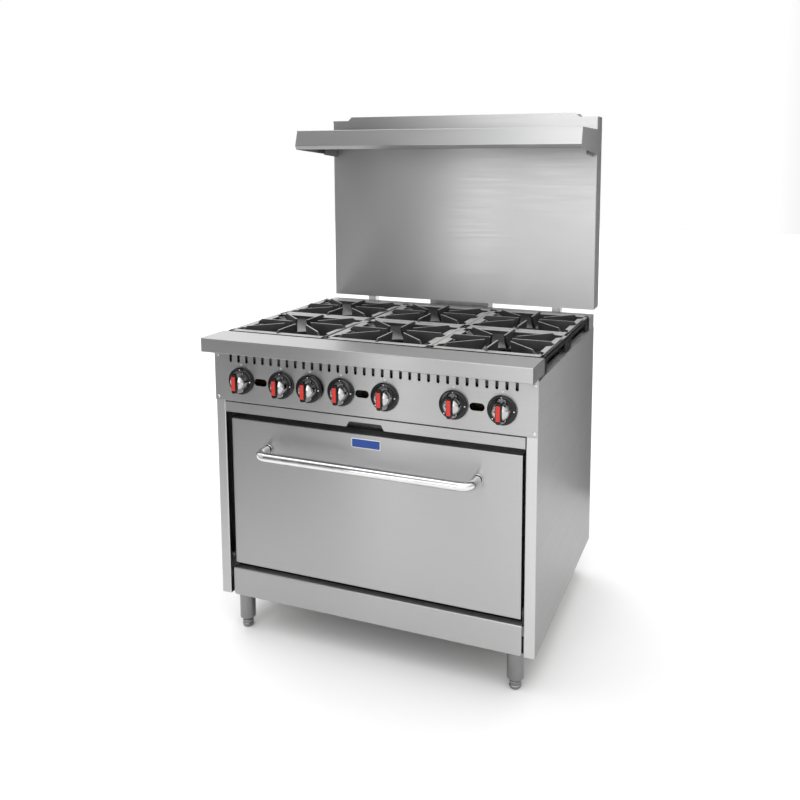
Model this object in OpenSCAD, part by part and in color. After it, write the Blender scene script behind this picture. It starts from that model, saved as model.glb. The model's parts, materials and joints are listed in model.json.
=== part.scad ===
// Six-burner commercial gas range with an oven, a tall backguard and a high shelf.
// The origin is the centre of the whole outline on the floor: +X right, +Y back, +Z up.

/* [Body] */
// Width over the two side panels
body_w = 910; // [890:1:930]
// Depth from the front panel to the back panel
body_d = 705; // [700:1:720]
// Height of the lower edge of the side panels
body_z0 = 109; // [100:1:110]
// Height of the upper edge of the side panels
body_z1 = 807; // [803:1:807]
// Sheet thickness of the stainless panels
sheet = 1.2; // [0.8:0.1:1.5]
// Width of the folded flange at the front of each side panel
flange_w = 29; // [24:1:31]

/* [Ledge and control panel] */
// Width of the front ledge
ledge_w = 914; // [912:1:934]
// Depth of the front ledge
ledge_d = 105; // [100:1:106]
// How far the ledge stands out in front of the control panel
ledge_over = 55; // [50:1:60]
// Height of the ledge's top
ledge_z = 854; // [852:1:856]
// Height of the ledge's front face
ledge_h = 38; // [30:1:40]
// Height of the control panel's lower edge
panel_z = 670; // [669:1:672]
// Distance between neighbouring vent slots
slot_pitch = 25.2; // [22:0.1:26]
// Number of vent slots
slot_count = 33; // [21:2:33]

/* [Burners] */
// Distance between the two knobs of one column of burners
knob_pitch = 124; // [120:1:126]
// Height of the knobs
knob_z = 731; // [729:1:733]
// Diameter of a knob's skirt
knob_d = 74; // [66:1:78]
// How far a knob stands out
knob_h = 40; // [36:1:44]
// Sideways place of the oven thermostat knob
thermostat_x = -158; // [-160:1:-156]
// Width of one grate
grate_w = 301.5; // [300:0.5:302]
// Depth of one grate
grate_d = 286.5; // [284:0.5:287]
// Height of the grates' top
grate_z = 861; // [858:1:864]
// Diameter of a burner head
head_d = 76; // [70:1:78]

/* [Oven] */
// Width of the door
door_w = 832; // [826:1:834]
// Height of the door
door_h = 421.5; // [416:0.5:424]
// Height of the door's lower edge
door_z = 197; // [196:1:198]
// How far the door's face lies behind the control panel
door_inset = 14; // [12:1:16]
// Thickness of the door
door_t = 48; // [44:1:50]
// Width inside the oven
cavity_w = 673; // [640:1:680]
// Height inside the oven
cavity_h = 356; // [350:1:358]
// Height of the oven's floor
cavity_z = 232; // [230:1:234]
// Diameter of the handle's tube
handle_d = 25; // [22:1:26]
// Distance between the handle's two feet
handle_w = 602; // [500:2:640]

/* [Legs] */
// Diameter of a leg
leg_d = 44; // [38:1:46]
// Diameter of a screw foot
foot_d = 31; // [28:1:34]

/* [Backguard and shelf] */
// Depth of the backguard
guard_d = 71; // [70:1:76]
// Height of the backguard's lower edge
guard_z0 = 860; // [858:1:864]
// Height of the backguard's shoulders
guard_z1 = 1459; // [1440:1:1480]
// How far the middle of the backguard rises over its shoulders
guard_rise = 12; // [8:1:20]
// Height of the shelf's top
shelf_z = 1419; // [1400:1:1430]
// Depth of the shelf at its top
shelf_d = 240; // [200:1:260]

/* [Hidden] */
KNOBS = [1, 2, 3, 4, 5, 6, 7];
GRATES = [1, 2, 3, 4, 5, 6];
FEET = [1, 2, 3, 4];
$fn = 48;

steel = [0.78, 0.78, 0.79];
dark_steel = [0.45, 0.45, 0.47];
iron = [0.16, 0.16, 0.17];
black = [0.05, 0.05, 0.05];
red = [0.85, 0.2, 0.15];
blue = [0.1, 0.25, 0.65];
brass = [0.78, 0.62, 0.3];
wool = [0.85, 0.82, 0.6];

// Main planes
half_w = body_w / 2;
inner_x = half_w - sheet;
ledge_y = -(ledge_over + body_d + guard_d) / 2;
panel_t = 1.5;
panel_y = ledge_y + ledge_over;
rear_y = panel_y + body_d;
back_in = rear_y - sheet;
guard_y = rear_y + guard_d;
flange_y = panel_y + panel_t;
flange_back = 12;
bend_r = 2.5;

// Door and front frame
door_y = panel_y + door_inset;
door_back = door_y + door_t;
door_z1 = door_z + door_h;
door_x = door_w / 2;
hinge_y = door_y + 16.5;
hinge_z = door_z + 10;
pin_r = 6;
arm_x = [398, 413];
handle_z = 542;
handle_y = panel_y - 42;
handle_bend = 28;
stud_r = 4;
frame_gap = 2.5;
frame_t = 2;
frame_y = door_back + frame_gap;
frame_z0 = 190;
frame_z1 = 636;

// Oven
oven_x = cavity_w / 2;
oven_y0 = frame_y + frame_t;
oven_y1 = 300;
oven_z1 = cavity_z + cavity_h;
liner_z0 = 200;
wool_t = 40;
wool_x = oven_x + sheet + wool_t;
wool_z1 = oven_z1 + sheet + wool_t;
flue_x = 102.5;
flue_slot = [120, 24];
flue_slot_z = 568;
deck_z = wool_z1 + 0.4;
deck_x = 428;
runner_h = 5.2;
tray_z0 = 636.7;
tray_z1 = 664;
tray_x = 420;
tray_y0 = panel_y + 22.5;
tray_y1 = 285;
strip_z0 = 640;
strip_z1 = 668;
rack_z = [330, 450];
rack_x = 318;
rack_y = [-270, 284];
rack_rod = 4;
guide_rod = 3;
guide_x = 331;
bulb_y = [-250, -100];
bulb_z = 578;
capillary_x = -437;
capillary_r = 1.5;

// Cooktop
grate_y0 = panel_y + 62;
grate_gap = 1;
columns = [-grate_w, 0, grate_w];
rows = [grate_y0 + grate_d / 2, grate_y0 + 1.5 * grate_d];
seam_x = grate_w / 2;
rim_z = grate_z - 8;
mouth_r = 58;
mouth_z = grate_z - 41;
finger_r = [30, 48];
rest_z = body_z1;
support_z = rest_z - sheet;
valve_groups = [-308, -5, 305];
burner_knobs = [for (g = valve_groups) each [g - knob_pitch / 2, g + knob_pitch / 2]];
knob_places = [
    burner_knobs[0], burner_knobs[1], thermostat_x, burner_knobs[2],
    burner_knobs[3], burner_knobs[4], burner_knobs[5]
];
pilot_places = [for (g = valve_groups) g - 2];
pilot_hole = [39, 20];
throat_z = 740;
throat_r = 13;
throat_y = -290;
bowl_z = 788;
bar_z = 696.5;
bar_t = 3;
manifold_y = panel_y + 42;
manifold_z = 690;
pipe_r = 13.5;
feed_x = 405;
valve_y0 = panel_y + 21;
valve_y1 = panel_y + 55;
valve_z = 706;
stem_r = 4;
stem_fit = 0.05;
knob_gap = 1;
push_travel = 5;

// Backguard and shelf
guard_x = 454;
guard_back = guard_y - 2.7;
rise_x = [397, 384];
post_x = 327;
post_y = rear_y + 27.5;
post_w = 27;
shelf_x = 455.5;
shelf_lip = [rear_y - sheet - shelf_d, rear_y - sheet - shelf_d - 15];
guard_front = rear_y - 2;
rail_y0 = 277;
rail_y1 = 339;
rail_z1 = 848;

// Legs
leg_x = 396.6;
leg_front = panel_y + 37.6;
leg_rear = 316;
leg_places = [[-leg_x, leg_front], [leg_x, leg_front], [-leg_x, leg_rear], [leg_x, leg_rear]];
foot_h = 22;
frame_bottom = body_z0 + 1;

// Screws: [x, z, plane they sit on, direction out of the sheet]
screw_r = 2;
screw_head = 4.5;
side_screw_x = 446;
front_screws = [for (sx = [-1, 1], z = [680, 797.5]) [sx * side_screw_x, z, panel_y, -1]];
back_screws = [for (sx = [-1, 1], z = [175, 320, 465, 610, 755]) [sx * side_screw_x, z, rear_y, 1]];
guard_screws = [
    for (sx = [-1, 1], z = [890, 1075, 1260, 1440])
        [sx * side_screw_x, z, guard_back + sheet, 1]
];
all_screws = concat(front_screws, back_screws, guard_screws);

// A block between two corners
module span(lo, hi) {
    translate(lo) cube(hi - lo);
}

// A round bar between two points
module rod(p, q, r) {
    d = q - p;
    translate(p)
        rotate([0, acos(d.z / norm(d)), atan2(d.y, d.x)])
            cylinder(r = r, h = norm(d));
}

// A rod along Y at the handle's height, from y0 to y1 measured from the door's face
module door_rod(x, y0, y1, r) {
    rod([x, door_y + y0, handle_z], [x, door_y + y1, handle_z], r);
}

// A profile drawn in Y and Z, extruded along X
module along_x(x0, x1) {
    translate([x0, 0, 0]) rotate([90, 0, 90]) linear_extrude(x1 - x0) children();
}

// A profile drawn in X and Z, extruded along Y
module along_y(y0, y1) {
    translate([0, y1, 0]) rotate([90, 0, 0]) linear_extrude(y1 - y0) children();
}

function unit(v) = v / norm(v);
function side(v) = [-v.y, v.x];
function spin(v, a) = [v.x * cos(a) - v.y * sin(a), v.x * sin(a) + v.y * cos(a)];

// The points of a rounded corner b between a and c
function corner(a, b, c, r, n) =
    let (u = unit(a - b), w = unit(c - b), open = acos(u * w))
    let (turn = (180 - open) * sign(side(u) * w) * -1)
    let (centre = b + unit(u + w) * r / sin(open / 2))
    let (from = b + u * r / tan(open / 2) - centre)
    [for (k = [0:n]) centre + spin(from, turn * k / n)];

// A path with every inner corner rounded
function rounded(p, r, n = 5) = concat(
    [p[0]],
    [for (i = [1:len(p) - 2]) each corner(p[i - 1], p[i], p[i + 1], r, n)],
    [p[len(p) - 1]]
);

// The same path moved sideways by t, with mitred corners
function moved(p, t) = [
    for (i = [0:len(p) - 1])
        let (a = side(unit(p[max(i, 1)] - p[max(i, 1) - 1])))
        let (b = side(unit(p[min(i + 1, len(p) - 1)] - p[min(i + 1, len(p) - 1) - 1])))
        p[i] + (a + b) * t / (1 + a * b)
];

// The section of a folded sheet, with its thickness to the left of the path
module folded(path, t = sheet, r = bend_r) {
    p = rounded(path, r);
    back = moved(p, t);
    polygon(concat(p, [for (i = [len(back) - 1:-1:0]) back[i]]));
}

// A slot or oval with round ends, centred, w wide and h high
module oval(w, h) {
    r = min(w, h) / 2;
    square([w - (h < w ? h : 0), h - (w <= h ? w : 0)], center = true);
    for (s = [-1, 1]) translate(w > h ? [s * (w / 2 - r), 0] : [0, s * (h / 2 - r)]) circle(r);
}

module screw_shanks(r) {
    for (s = all_screws)
        rod([s[0], s[2] - s[3] * 8, s[1]], [s[0], s[2] + s[3] * 0.2, s[1]], r);
}

// ---- Body ----

module side_panel(s) {
    plan = [
        [half_w - flange_w, flange_y + flange_back], [half_w - flange_w, flange_y],
        [half_w, flange_y], [half_w, rear_y - sheet], [half_w - 22, rear_y - sheet]
    ];
    mirror([s < 0 ? 1 : 0, 0, 0])
        difference() {
            union() {
                translate([0, 0, body_z0]) linear_extrude(body_z1 - body_z0) folded(plan);
                for (z = [body_z0, body_z1 - sheet])
                    span([half_w - 22, flange_y + flange_back, z], [half_w - 0.5, rear_y - 4, z + sheet]);
            }
            screw_shanks(screw_r + 0.1);
        }
}

module side_panel_left() {
    color(steel) side_panel(-1);
}

module side_panel_right() {
    color(steel) side_panel(1);
}

module back_panel() {
    louvre_z = [for (k = [0:5]) 640 + k * 22];
    color(dark_steel)
        difference() {
            span([-half_w, back_in, body_z0], [half_w, rear_y, body_z1 - 2]);
            screw_shanks(screw_r + 0.1);
            along_y(back_in - 1, rear_y + 1) {
                translate([0, flue_slot_z]) square(flue_slot, center = true);
                translate([feed_x, manifold_z]) circle(pipe_r + 1.5);
                for (sx = [-1, 1], z = louvre_z) translate([sx * 220, z]) oval(120, 8);
            }
        }
}

module base_frame() {
    t = 4;
    w = 40;
    x1 = inner_x - 0.3;
    y0 = flange_y + 16;
    y1 = back_in - 1.5;
    z0 = frame_bottom + sheet;
    color(dark_steel) {
        for (sx = [-1, 1]) mirror([sx < 0 ? 1 : 0, 0, 0]) {
            span([x1 - w, y0, z0], [x1, y1, z0 + t]);
            span([x1 - t, y0, z0], [x1, y1, z0 + w]);
        }
        span([-x1, y0, z0], [x1, y0 + w, z0 + t]);
        span([-x1, y0, z0], [x1, y0 + t, z0 + w]);
        span([-x1, y1 - w, z0], [x1, y1, z0 + t]);
        span([-x1, y1 - t, z0], [x1, y1, z0 + w]);
        for (p = leg_places) translate([p.x, p.y, z0 + t / 2]) cube([80, 52, t], center = true);
    }
}

module oven_front_frame() {
    color(steel)
        difference() {
            span([-inner_x + 0.3, frame_y, frame_z0], [inner_x - 0.3, oven_y0, frame_z1]);
            span([-oven_x, frame_y - 1, cavity_z], [oven_x, oven_y0 + 1, oven_z1]);
        }
}

module flue_hole(y0, y1) {
    along_y(y0, y1) translate([0, flue_slot_z]) square(flue_slot, center = true);
}

module oven_liner() {
    step = 10;
    color(dark_steel)
        difference() {
            union() {
                difference() {
                    span(
                        [-oven_x - sheet, oven_y0, liner_z0],
                        [oven_x + sheet, oven_y1 + sheet, oven_z1 + sheet]
                    );
                    span([-oven_x, oven_y0 - 1, liner_z0 - 1], [oven_x, oven_y1, oven_z1]);
                }
                for (sx = [-1, 1]) mirror([sx < 0 ? 1 : 0, 0, 0])
                    span([oven_x - step, oven_y0 + 1, cavity_z - 6], [oven_x + 0.5, oven_y1, cavity_z - 2]);
            }
            flue_hole(oven_y1 - 1, oven_y1 + 2);
            rod([-oven_x - 4, bulb_y[0], bulb_z], [-oven_x + 4, bulb_y[0], bulb_z], 3);
        }
}

module oven_bottom_plate() {
    color(dark_steel)
        difference() {
            span([-oven_x + 0.5, oven_y0 + 1, cavity_z - 2], [oven_x - 0.5, oven_y1 - 0.5, cavity_z]);
            for (sx = [-1, 1], k = [0:8])
                translate([sx * (oven_x - 45), -240 + k * 60, cavity_z - 3])
                    linear_extrude(4) oval(14, 40);
        }
}

module oven_insulation() {
    color(wool)
        difference() {
            span([-wool_x, oven_y0 + 0.5, liner_z0], [wool_x, back_in - 1.3, wool_z1]);
            span(
                [-oven_x - sheet, oven_y0 - 1, liner_z0 - 1],
                [oven_x + sheet, oven_y1 + sheet, oven_z1 + sheet]
            );
            flue_hole(oven_y1, back_in + 1);
            rod([-wool_x - 1, bulb_y[0], bulb_z], [-oven_x + 4, bulb_y[0], bulb_z], 3);
        }
}

module rack_guides() {
    levels = [for (k = [-1:3]) rack_z[0] + k * (rack_z[1] - rack_z[0]) / 2];
    color(steel)
        for (sx = [-1, 1]) {
            for (y = [-200, 200]) rod([sx * guide_x, y, cavity_z + 0.1], [sx * guide_x, y, 560], guide_rod);
            for (z = levels)
                rod(
                    [sx * (guide_x - 4), rack_y[0], z - rack_rod - guide_rod - 0.4],
                    [sx * (guide_x - 4), rack_y[1], z - rack_rod - guide_rod - 0.4], guide_rod
                );
        }
}

module kick_plate() {
    w = 419;
    y0 = panel_y + 8;
    z0 = 104;
    z1 = 184;
    section = [[y0 + 22, z1], [y0, z1], [y0, z0], [y0 + 8, z0]];
    outline = rounded([[-w, z1 + 1], [-w, z0], [w, z0], [w, z1 + 1]], 9);
    color(steel)
        intersection() {
            along_x(-w, w) folded(section);
            along_y(y0 - 1, y0 + 30) polygon(outline);
        }
}

// ---- Control panel, ledge and rear rail ----

module control_panel() {
    z1 = 846;
    section = [[panel_y + 12, panel_z], [panel_y, panel_z], [panel_y, z1], [panel_y + 30, z1]];
    slot_z0 = 780;
    slot_h = 32;
    color(steel)
        difference() {
            along_x(-half_w, half_w) folded([for (k = [len(section) - 1:-1:0]) section[k]], panel_t);
            along_y(panel_y - 1, panel_y + panel_t + 1) {
                for (k = [0:slot_count - 1])
                    translate([(k - (slot_count - 1) / 2) * slot_pitch, slot_z0 + slot_h / 2])
                        oval(8, slot_h);
                for (x = knob_places) translate([x, knob_z]) circle(9);
                for (x = pilot_places) translate([x, knob_z]) oval(pilot_hole.x, pilot_hole.y);
            }
            for (sx = [-1, 1]) mirror([sx < 0 ? 1 : 0, 0, 0])
                span(
                    [half_w - flange_w - 0.5, flange_y - 0.01, panel_z - 1],
                    [half_w + 1, panel_y + 13, panel_z + bend_r + 1]
                );
            screw_shanks(screw_r + 0.1);
        }
}

module front_ledge() {
    w = ledge_w / 2;
    z0 = ledge_z - ledge_h;
    y1 = ledge_y + ledge_d;
    section = [[y1, z0 - 4], [y1, ledge_z], [ledge_y, ledge_z], [ledge_y, z0], [ledge_y + 16, z0]];
    color(steel) {
        along_x(-w + 0.4, w - 0.4) folded(section);
        for (sx = [-1, 1]) mirror([sx < 0 ? 1 : 0, 0, 0])
            along_x(w - sheet, w)
                polygon(rounded([
                    [ledge_y + 30, z0], [ledge_y, z0], [ledge_y, ledge_z], [y1, ledge_z], [y1, z0],
                    [ledge_y + 30, z0]
                ], bend_r));
    }
}

module rear_rail() {
    end_x = half_w - 0.2;
    section = [[rail_y1, rest_z + 0.5], [rail_y1, rail_z1], [rail_y0, rail_z1], [rail_y0, rest_z + 0.5]];
    color(steel) {
        along_x(-end_x, end_x) folded(section);
        for (sx = [-1, 1]) mirror([sx < 0 ? 1 : 0, 0, 0])
            span([end_x - sheet, rail_y0 - 11.5, rest_z + 0.5], [end_x, rail_y1 - 1.5, rail_z1 - 0.5]);
    }
}

// ---- Cooktop ----

module burner_supports() {
    y0 = panel_y + 52.5;
    y1 = rail_y0 - 1;
    web = 2;
    angle_w = 24;
    angle_z = support_z - 0.4;
    angle_h = 34.6;
    gap = 0.3;
    color(dark_steel) {
        // Cross angles at the front and the back
        for (y = [y0, y1 - angle_w])
            span([-inner_x + gap, y, angle_z - sheet], [inner_x - gap, y + angle_w, angle_z]);
        span([-430, y0, angle_z - angle_h], [430, y0 + web, angle_z]);
        span([-430, y1 - web, angle_z - angle_h], [430, y1, angle_z]);
        // Rails under the seams of the grates, with their deep webs
        for (sx = [-1, 1]) {
            span([sx * seam_x - 12, y0, support_z - 0.2], [sx * seam_x + 12, y1, rest_z - 0.2]);
            span(
                [sx * seam_x - web / 2, y0 + angle_w + gap, bar_z + bar_t + gap],
                [sx * seam_x + web / 2, y1 - angle_w - gap, support_z]
            );
        }
        // Bars under the burners
        for (y = rows) span([-388, y - 10, bar_z], [388, y + 10, bar_z + bar_t]);
        // Deck over the oven's insulation, with the tray's runners
        span([-deck_x, oven_y0 + 1, deck_z], [deck_x, back_in - 3, deck_z + sheet]);
        for (sx = [-1, 1]) mirror([sx < 0 ? 1 : 0, 0, 0])
            span([395, oven_y0 + 1, deck_z + 0.5], [405, tray_y1, deck_z + runner_h]);
    }
}

module burner(col, row, knob_x) {
    x = columns[col];
    y = rows[row];
    difference() {
        union() {
            translate([x, y, bar_z + bar_t]) cylinder(r = 8, h = 34);
            translate([x, y, throat_z - throat_r]) cylinder(r = 24, h = 2 * throat_r + 2);
            translate([x, y, throat_z + throat_r])
                cylinder(r1 = 24, r2 = head_d / 2, h = bowl_z - throat_z - throat_r);
            rod([knob_x, throat_y, throat_z], [knob_x, y + throat_r + 3, throat_z], throat_r);
            rod([knob_x, y, throat_z], [x, y, throat_z], throat_r - 2);
            rod([knob_x, throat_y, throat_z], [knob_x, throat_y + 14, throat_z], throat_r + 3);
        }
        rod([knob_x, throat_y - 1, throat_z], [knob_x, y, throat_z], throat_r - 3);
        translate([x, y, throat_z + 8]) cylinder(r = 18, h = bowl_z);
    }
}

module burner_bodies() {
    color(iron)
        for (c = [0:2], r = [0:1]) burner(c, r, burner_knobs[2 * c + r]);
}

module burner_heads() {
    r = head_d / 2;
    z = bowl_z;
    cap = concat(
        [[0, z], [r - 1, z], [r, z + 1], [r, z + 9]],
        [for (k = [0:6]) [6 + (r - 9) * cos(90 * k / 6), z + 13 + 12 * sin(90 * k / 6)]],
        [[0, z + 25]]
    );
    color(iron)
        for (x = columns, y = rows) translate([x, y, 0]) rotate_extrude() polygon(cap);
}

// A web that stands on the spill bowl, pointing from the rim towards the burner
module grate_finger(angle, from_r, to_r) {
    t = 8;
    outline = [
        [from_r, grate_z], [to_r - 10, grate_z], [to_r, rim_z - 1], [to_r, rim_z - 9],
        [mouth_r + 2, mouth_z - 2], [from_r + 6, grate_z - 15]
    ];
    rotate([90, 0, angle]) translate([0, 0, -t / 2]) linear_extrude(t) polygon(outline);
}

module grate() {
    gx = (grate_w - grate_gap) / 2;
    gy = (grate_d - grate_gap) / 2;
    rim = 24;
    ix = gx - rim;
    iy = gy - rim;
    reach = norm([ix, iy]);
    wall = 4.5;
    bowl = [
        [mouth_r, mouth_z - 6], [mouth_r + wall, mouth_z - 6], [mouth_r + wall, mouth_z - wall],
        [reach, rim_z - 5 - wall], [reach, rim_z - 5], [mouth_r, mouth_z]
    ];
    foot = 26;
    skirt = 5;
    diagonal = atan2(iy, ix);
    union() {
        // Flat rim, notched beside the side fingers and in the corners
        difference() {
            span([-gx, -gy, rim_z - 7], [gx, gy, rim_z]);
            span([-ix, -iy, rim_z - 8], [ix, iy, rim_z + 1]);
            for (sx = [-1, 1]) {
                translate([sx * ix, 0, rim_z]) cube([24, 28, 20], center = true);
                for (sy = [-1, 1])
                    translate([sx * ix, sy * (iy - 13), rim_z]) cube([24, 26, 20], center = true);
            }
        }
        // Wall under the rim's inner edge
        difference() {
            span([-ix - wall, -iy - wall, rim_z - 22], [ix + wall, iy + wall, rim_z - 6]);
            span([-ix, -iy, rim_z - 23], [ix, iy, rim_z]);
        }
        for (sx = [-1, 1]) mirror([sx < 0 ? 1 : 0, 0, 0])
            span([ix + wall - 0.5, -iy, rim_z - 13], [gx - 1, iy, rim_z - 6]);
        // Spill bowl with a round mouth over the burner
        intersection() {
            rotate_extrude($fn = 64) polygon(bowl);
            span([-ix - 1, -iy - 1, rest_z + 1], [ix + 1, iy + 1, rim_z]);
        }
        // Side skirts, arched between their feet
        for (sx = [-1, 1])
            difference() {
                span(
                    [sx * (gx - skirt / 2) - skirt / 2, -gy, rest_z + 0.3],
                    [sx * (gx - skirt / 2) + skirt / 2, gy, rim_z - 1]
                );
                along_x(sx * gx - 20, sx * gx + 20)
                    polygon([
                        [-gy + foot, rest_z - 1],
                        [-gy + foot + 12, rest_z + 24],
                        [gy - foot - 12, rest_z + 24],
                        [gy - foot, rest_z - 1]
                    ]);
            }
        // End walls
        for (sy = [-1, 1])
            span(
                [-gx, sy * (gy - skirt / 2) - skirt / 2, rim_z - 22],
                [gx, sy * (gy - skirt / 2) + skirt / 2, rim_z - 1]
            );
        // Eight fingers: four straight ones and four towards the corners
        for (a = [0, 180]) grate_finger(a, finger_r[0], gx - 7);
        for (a = [90, 270]) grate_finger(a, finger_r[0], gy - 14);
        for (a = [diagonal, 180 - diagonal, 180 + diagonal, -diagonal])
            grate_finger(a, finger_r[1], reach - 10);
    }
}

module grate_node(i) {
    col = (i - 1) % 3;
    row = floor((i - 1) / 3);
    color(iron) translate([columns[col], rows[row], 0]) grate();
}

// ---- Gas ----

module gas_pipework() {
    left = -440;
    oven_pipe_x = -438;
    oven_pipe_y = -280;
    lower_z = 168;
    color(dark_steel) {
        difference() {
            union() {
                rod([left, manifold_y, manifold_z], [feed_x, manifold_y, manifold_z], pipe_r);
                translate([feed_x, manifold_y, manifold_z]) sphere(pipe_r);
                rod([feed_x, manifold_y, manifold_z], [feed_x, rear_y + 6, manifold_z], pipe_r);
                for (x = concat(burner_knobs, pilot_places, [thermostat_x]))
                    translate([x, manifold_y, manifold_z]) cylinder(r = 8, h = valve_z - manifold_z);
            }
            rod([left + 10, manifold_y, manifold_z], [feed_x, manifold_y, manifold_z], pipe_r - 3);
            rod([feed_x, manifold_y, manifold_z], [feed_x, rear_y + 7, manifold_z], pipe_r - 3);
        }
        // Line from the thermostat to the oven burner
        oven_line = [
            [thermostat_x - 31, -300, valve_z + 8], [oven_pipe_x, -300, valve_z + 8],
            [oven_pipe_x, oven_pipe_y, valve_z + 8], [oven_pipe_x, oven_pipe_y, lower_z],
            [0, oven_pipe_y, lower_z]
        ];
        for (k = [0:len(oven_line) - 2]) {
            rod(oven_line[k], oven_line[k + 1], 4);
            translate(oven_line[k + 1]) sphere(4);
        }
        translate([0, oven_pipe_y, lower_z]) sphere(9);
        rod([0, oven_pipe_y, lower_z], [0, oven_pipe_y + 12, lower_z], 5);
    }
}

module gas_valves() {
    color(brass)
        for (x = burner_knobs)
            difference() {
                union() {
                    span([x - 13, valve_y0, valve_z], [x + 13, valve_y1, valve_z + 40]);
                    rod([x, valve_y0, knob_z], [x, valve_y0 - 10, knob_z], 9);
                    rod([x, valve_y1, throat_z], [x, throat_y - 4, throat_z], 5);
                }
                rod([x, valve_y0 - 11, knob_z], [x, valve_y0 + 12, knob_z], stem_r + stem_fit);
            }
}

module pilot_burners() {
    pilot_z = 723;
    tip_y = (rows[0] + rows[1]) / 2;
    color(brass)
        for (k = [0:2]) {
            x = pilot_places[k];
            tip_x = columns[k] - 24;
            difference() {
                span([x - 9, valve_y0, valve_z], [x + 9, valve_y1 - 8, valve_z + 34]);
                rod([x, valve_y0 - 1, knob_z], [x, valve_y0 + 3, knob_z], 6);
            }
            rod([x, valve_y0, knob_z], [x, valve_y0 + 4, knob_z], 5);
            rod([x, valve_y1 - 8, pilot_z], [x, valve_y1 + 12, pilot_z], 3);
            rod([x, valve_y1 + 12, pilot_z], [tip_x, valve_y1 + 40, pilot_z], 3);
            rod([tip_x, valve_y1 + 40, pilot_z], [tip_x, tip_y, pilot_z], 3);
            rod([tip_x, tip_y, pilot_z], [tip_x, tip_y, bowl_z - 8], 3);
            for (p = [[x, valve_y1 + 12], [tip_x, valve_y1 + 40], [tip_x, tip_y]])
                translate([p.x, p.y, pilot_z]) cube(8, center = true);
            rod([tip_x, tip_y, bowl_z - 8], [tip_x, tip_y, bowl_z + 6], 6);
        }
}

module oven_thermostat() {
    w = 30;
    y0 = panel_y + 12;
    y1 = y0 + 54;
    z1 = valve_z + 56;
    cap_z = z1 - 8;
    line = [
        [thermostat_x - w + 4, y0 + 30, cap_z], [capillary_x, y0 + 30, cap_z],
        [capillary_x, bulb_y[0], cap_z], [capillary_x, bulb_y[0], bulb_z], [-oven_x + 8, bulb_y[0], bulb_z]
    ];
    color(dark_steel)
        difference() {
            span([thermostat_x - w, y0, valve_z], [thermostat_x + w, y1, z1]);
            rod([thermostat_x, y0 - 1, knob_z], [thermostat_x, y0 + 30, knob_z], stem_r + 1 + stem_fit);
            rod([thermostat_x, y0 + 12, knob_z], [thermostat_x, y0 + 40, knob_z], 9);
        }
    color(brass) {
        for (k = [0:len(line) - 2]) {
            rod(line[k], line[k + 1], capillary_r);
            translate(line[k + 1]) sphere(capillary_r);
        }
        rod([-oven_x + 8, bulb_y[0], bulb_z], [-oven_x + 8, bulb_y[1], bulb_z], 4);
    }
}

module thermostat_stem() {
    y0 = panel_y + 12;
    color(brass)
        difference() {
            union() {
                rod([thermostat_x, y0 + 16, knob_z], [thermostat_x, y0 - 11.5, knob_z], stem_r + 1);
                rod([thermostat_x, y0 + 16, knob_z], [thermostat_x, y0 + 19, knob_z], 8.5);
            }
            rod([thermostat_x, y0 - 12.5, knob_z], [thermostat_x, y0 + 12, knob_z], 3 + stem_fit);
        }
}

module oven_burner() {
    z = 168;
    y0 = -266;
    y1 = 240;
    r = 24;
    color(iron) {
        difference() {
            rod([0, y0, z], [0, y1, z], r);
            rod([0, y0 - 1, z], [0, y1 - 4, z], r - 3);
            for (k = [0:17], sx = [-1, 1])
                rod([sx * 8, y0 + 60 + k * 24, z], [sx * 30, y0 + 60 + k * 24, z + 12], 2);
        }
        // Saddles down to the base frame's height
        for (y = [-180, 180]) difference() {
            span([-30, y - 2, frame_bottom + 10], [30, y + 2, z]);
            rod([0, y - 3, z], [0, y + 3, z], r - 1);
        }
        // Spreader plate above the flame
        span([-60, -200, z + r + 8], [60, 200, z + r + 9.5]);
        for (y = [-150, 150], sx = [-1, 1])
            span([sx * 50 - 2, y - 8, frame_bottom + 60], [sx * 50 + 2, y + 8, z + r + 8]);
        for (y = [-150, 150]) span([-52, y - 8, z - 2], [52, y + 8, z + 2]);
    }
}

module gas_regulator() {
    y0 = rear_y + 6;
    y1 = y0 + 58;
    color(brass)
        difference() {
            union() {
                rod([feed_x, y0, manifold_z], [feed_x, y1, manifold_z], 18);
                translate([feed_x, y0 + 28, manifold_z]) cylinder(r = 24, h = 26);
                translate([feed_x, y0 + 28, manifold_z + 26]) cylinder(r = 14, h = 14);
            }
            rod([feed_x, y1 - 20, manifold_z], [feed_x, y1 + 1, manifold_z], 12.1);
            rod([feed_x, y0 - 1, manifold_z], [feed_x, y1, manifold_z], 8);
        }
}

// ---- Knobs ----

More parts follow.
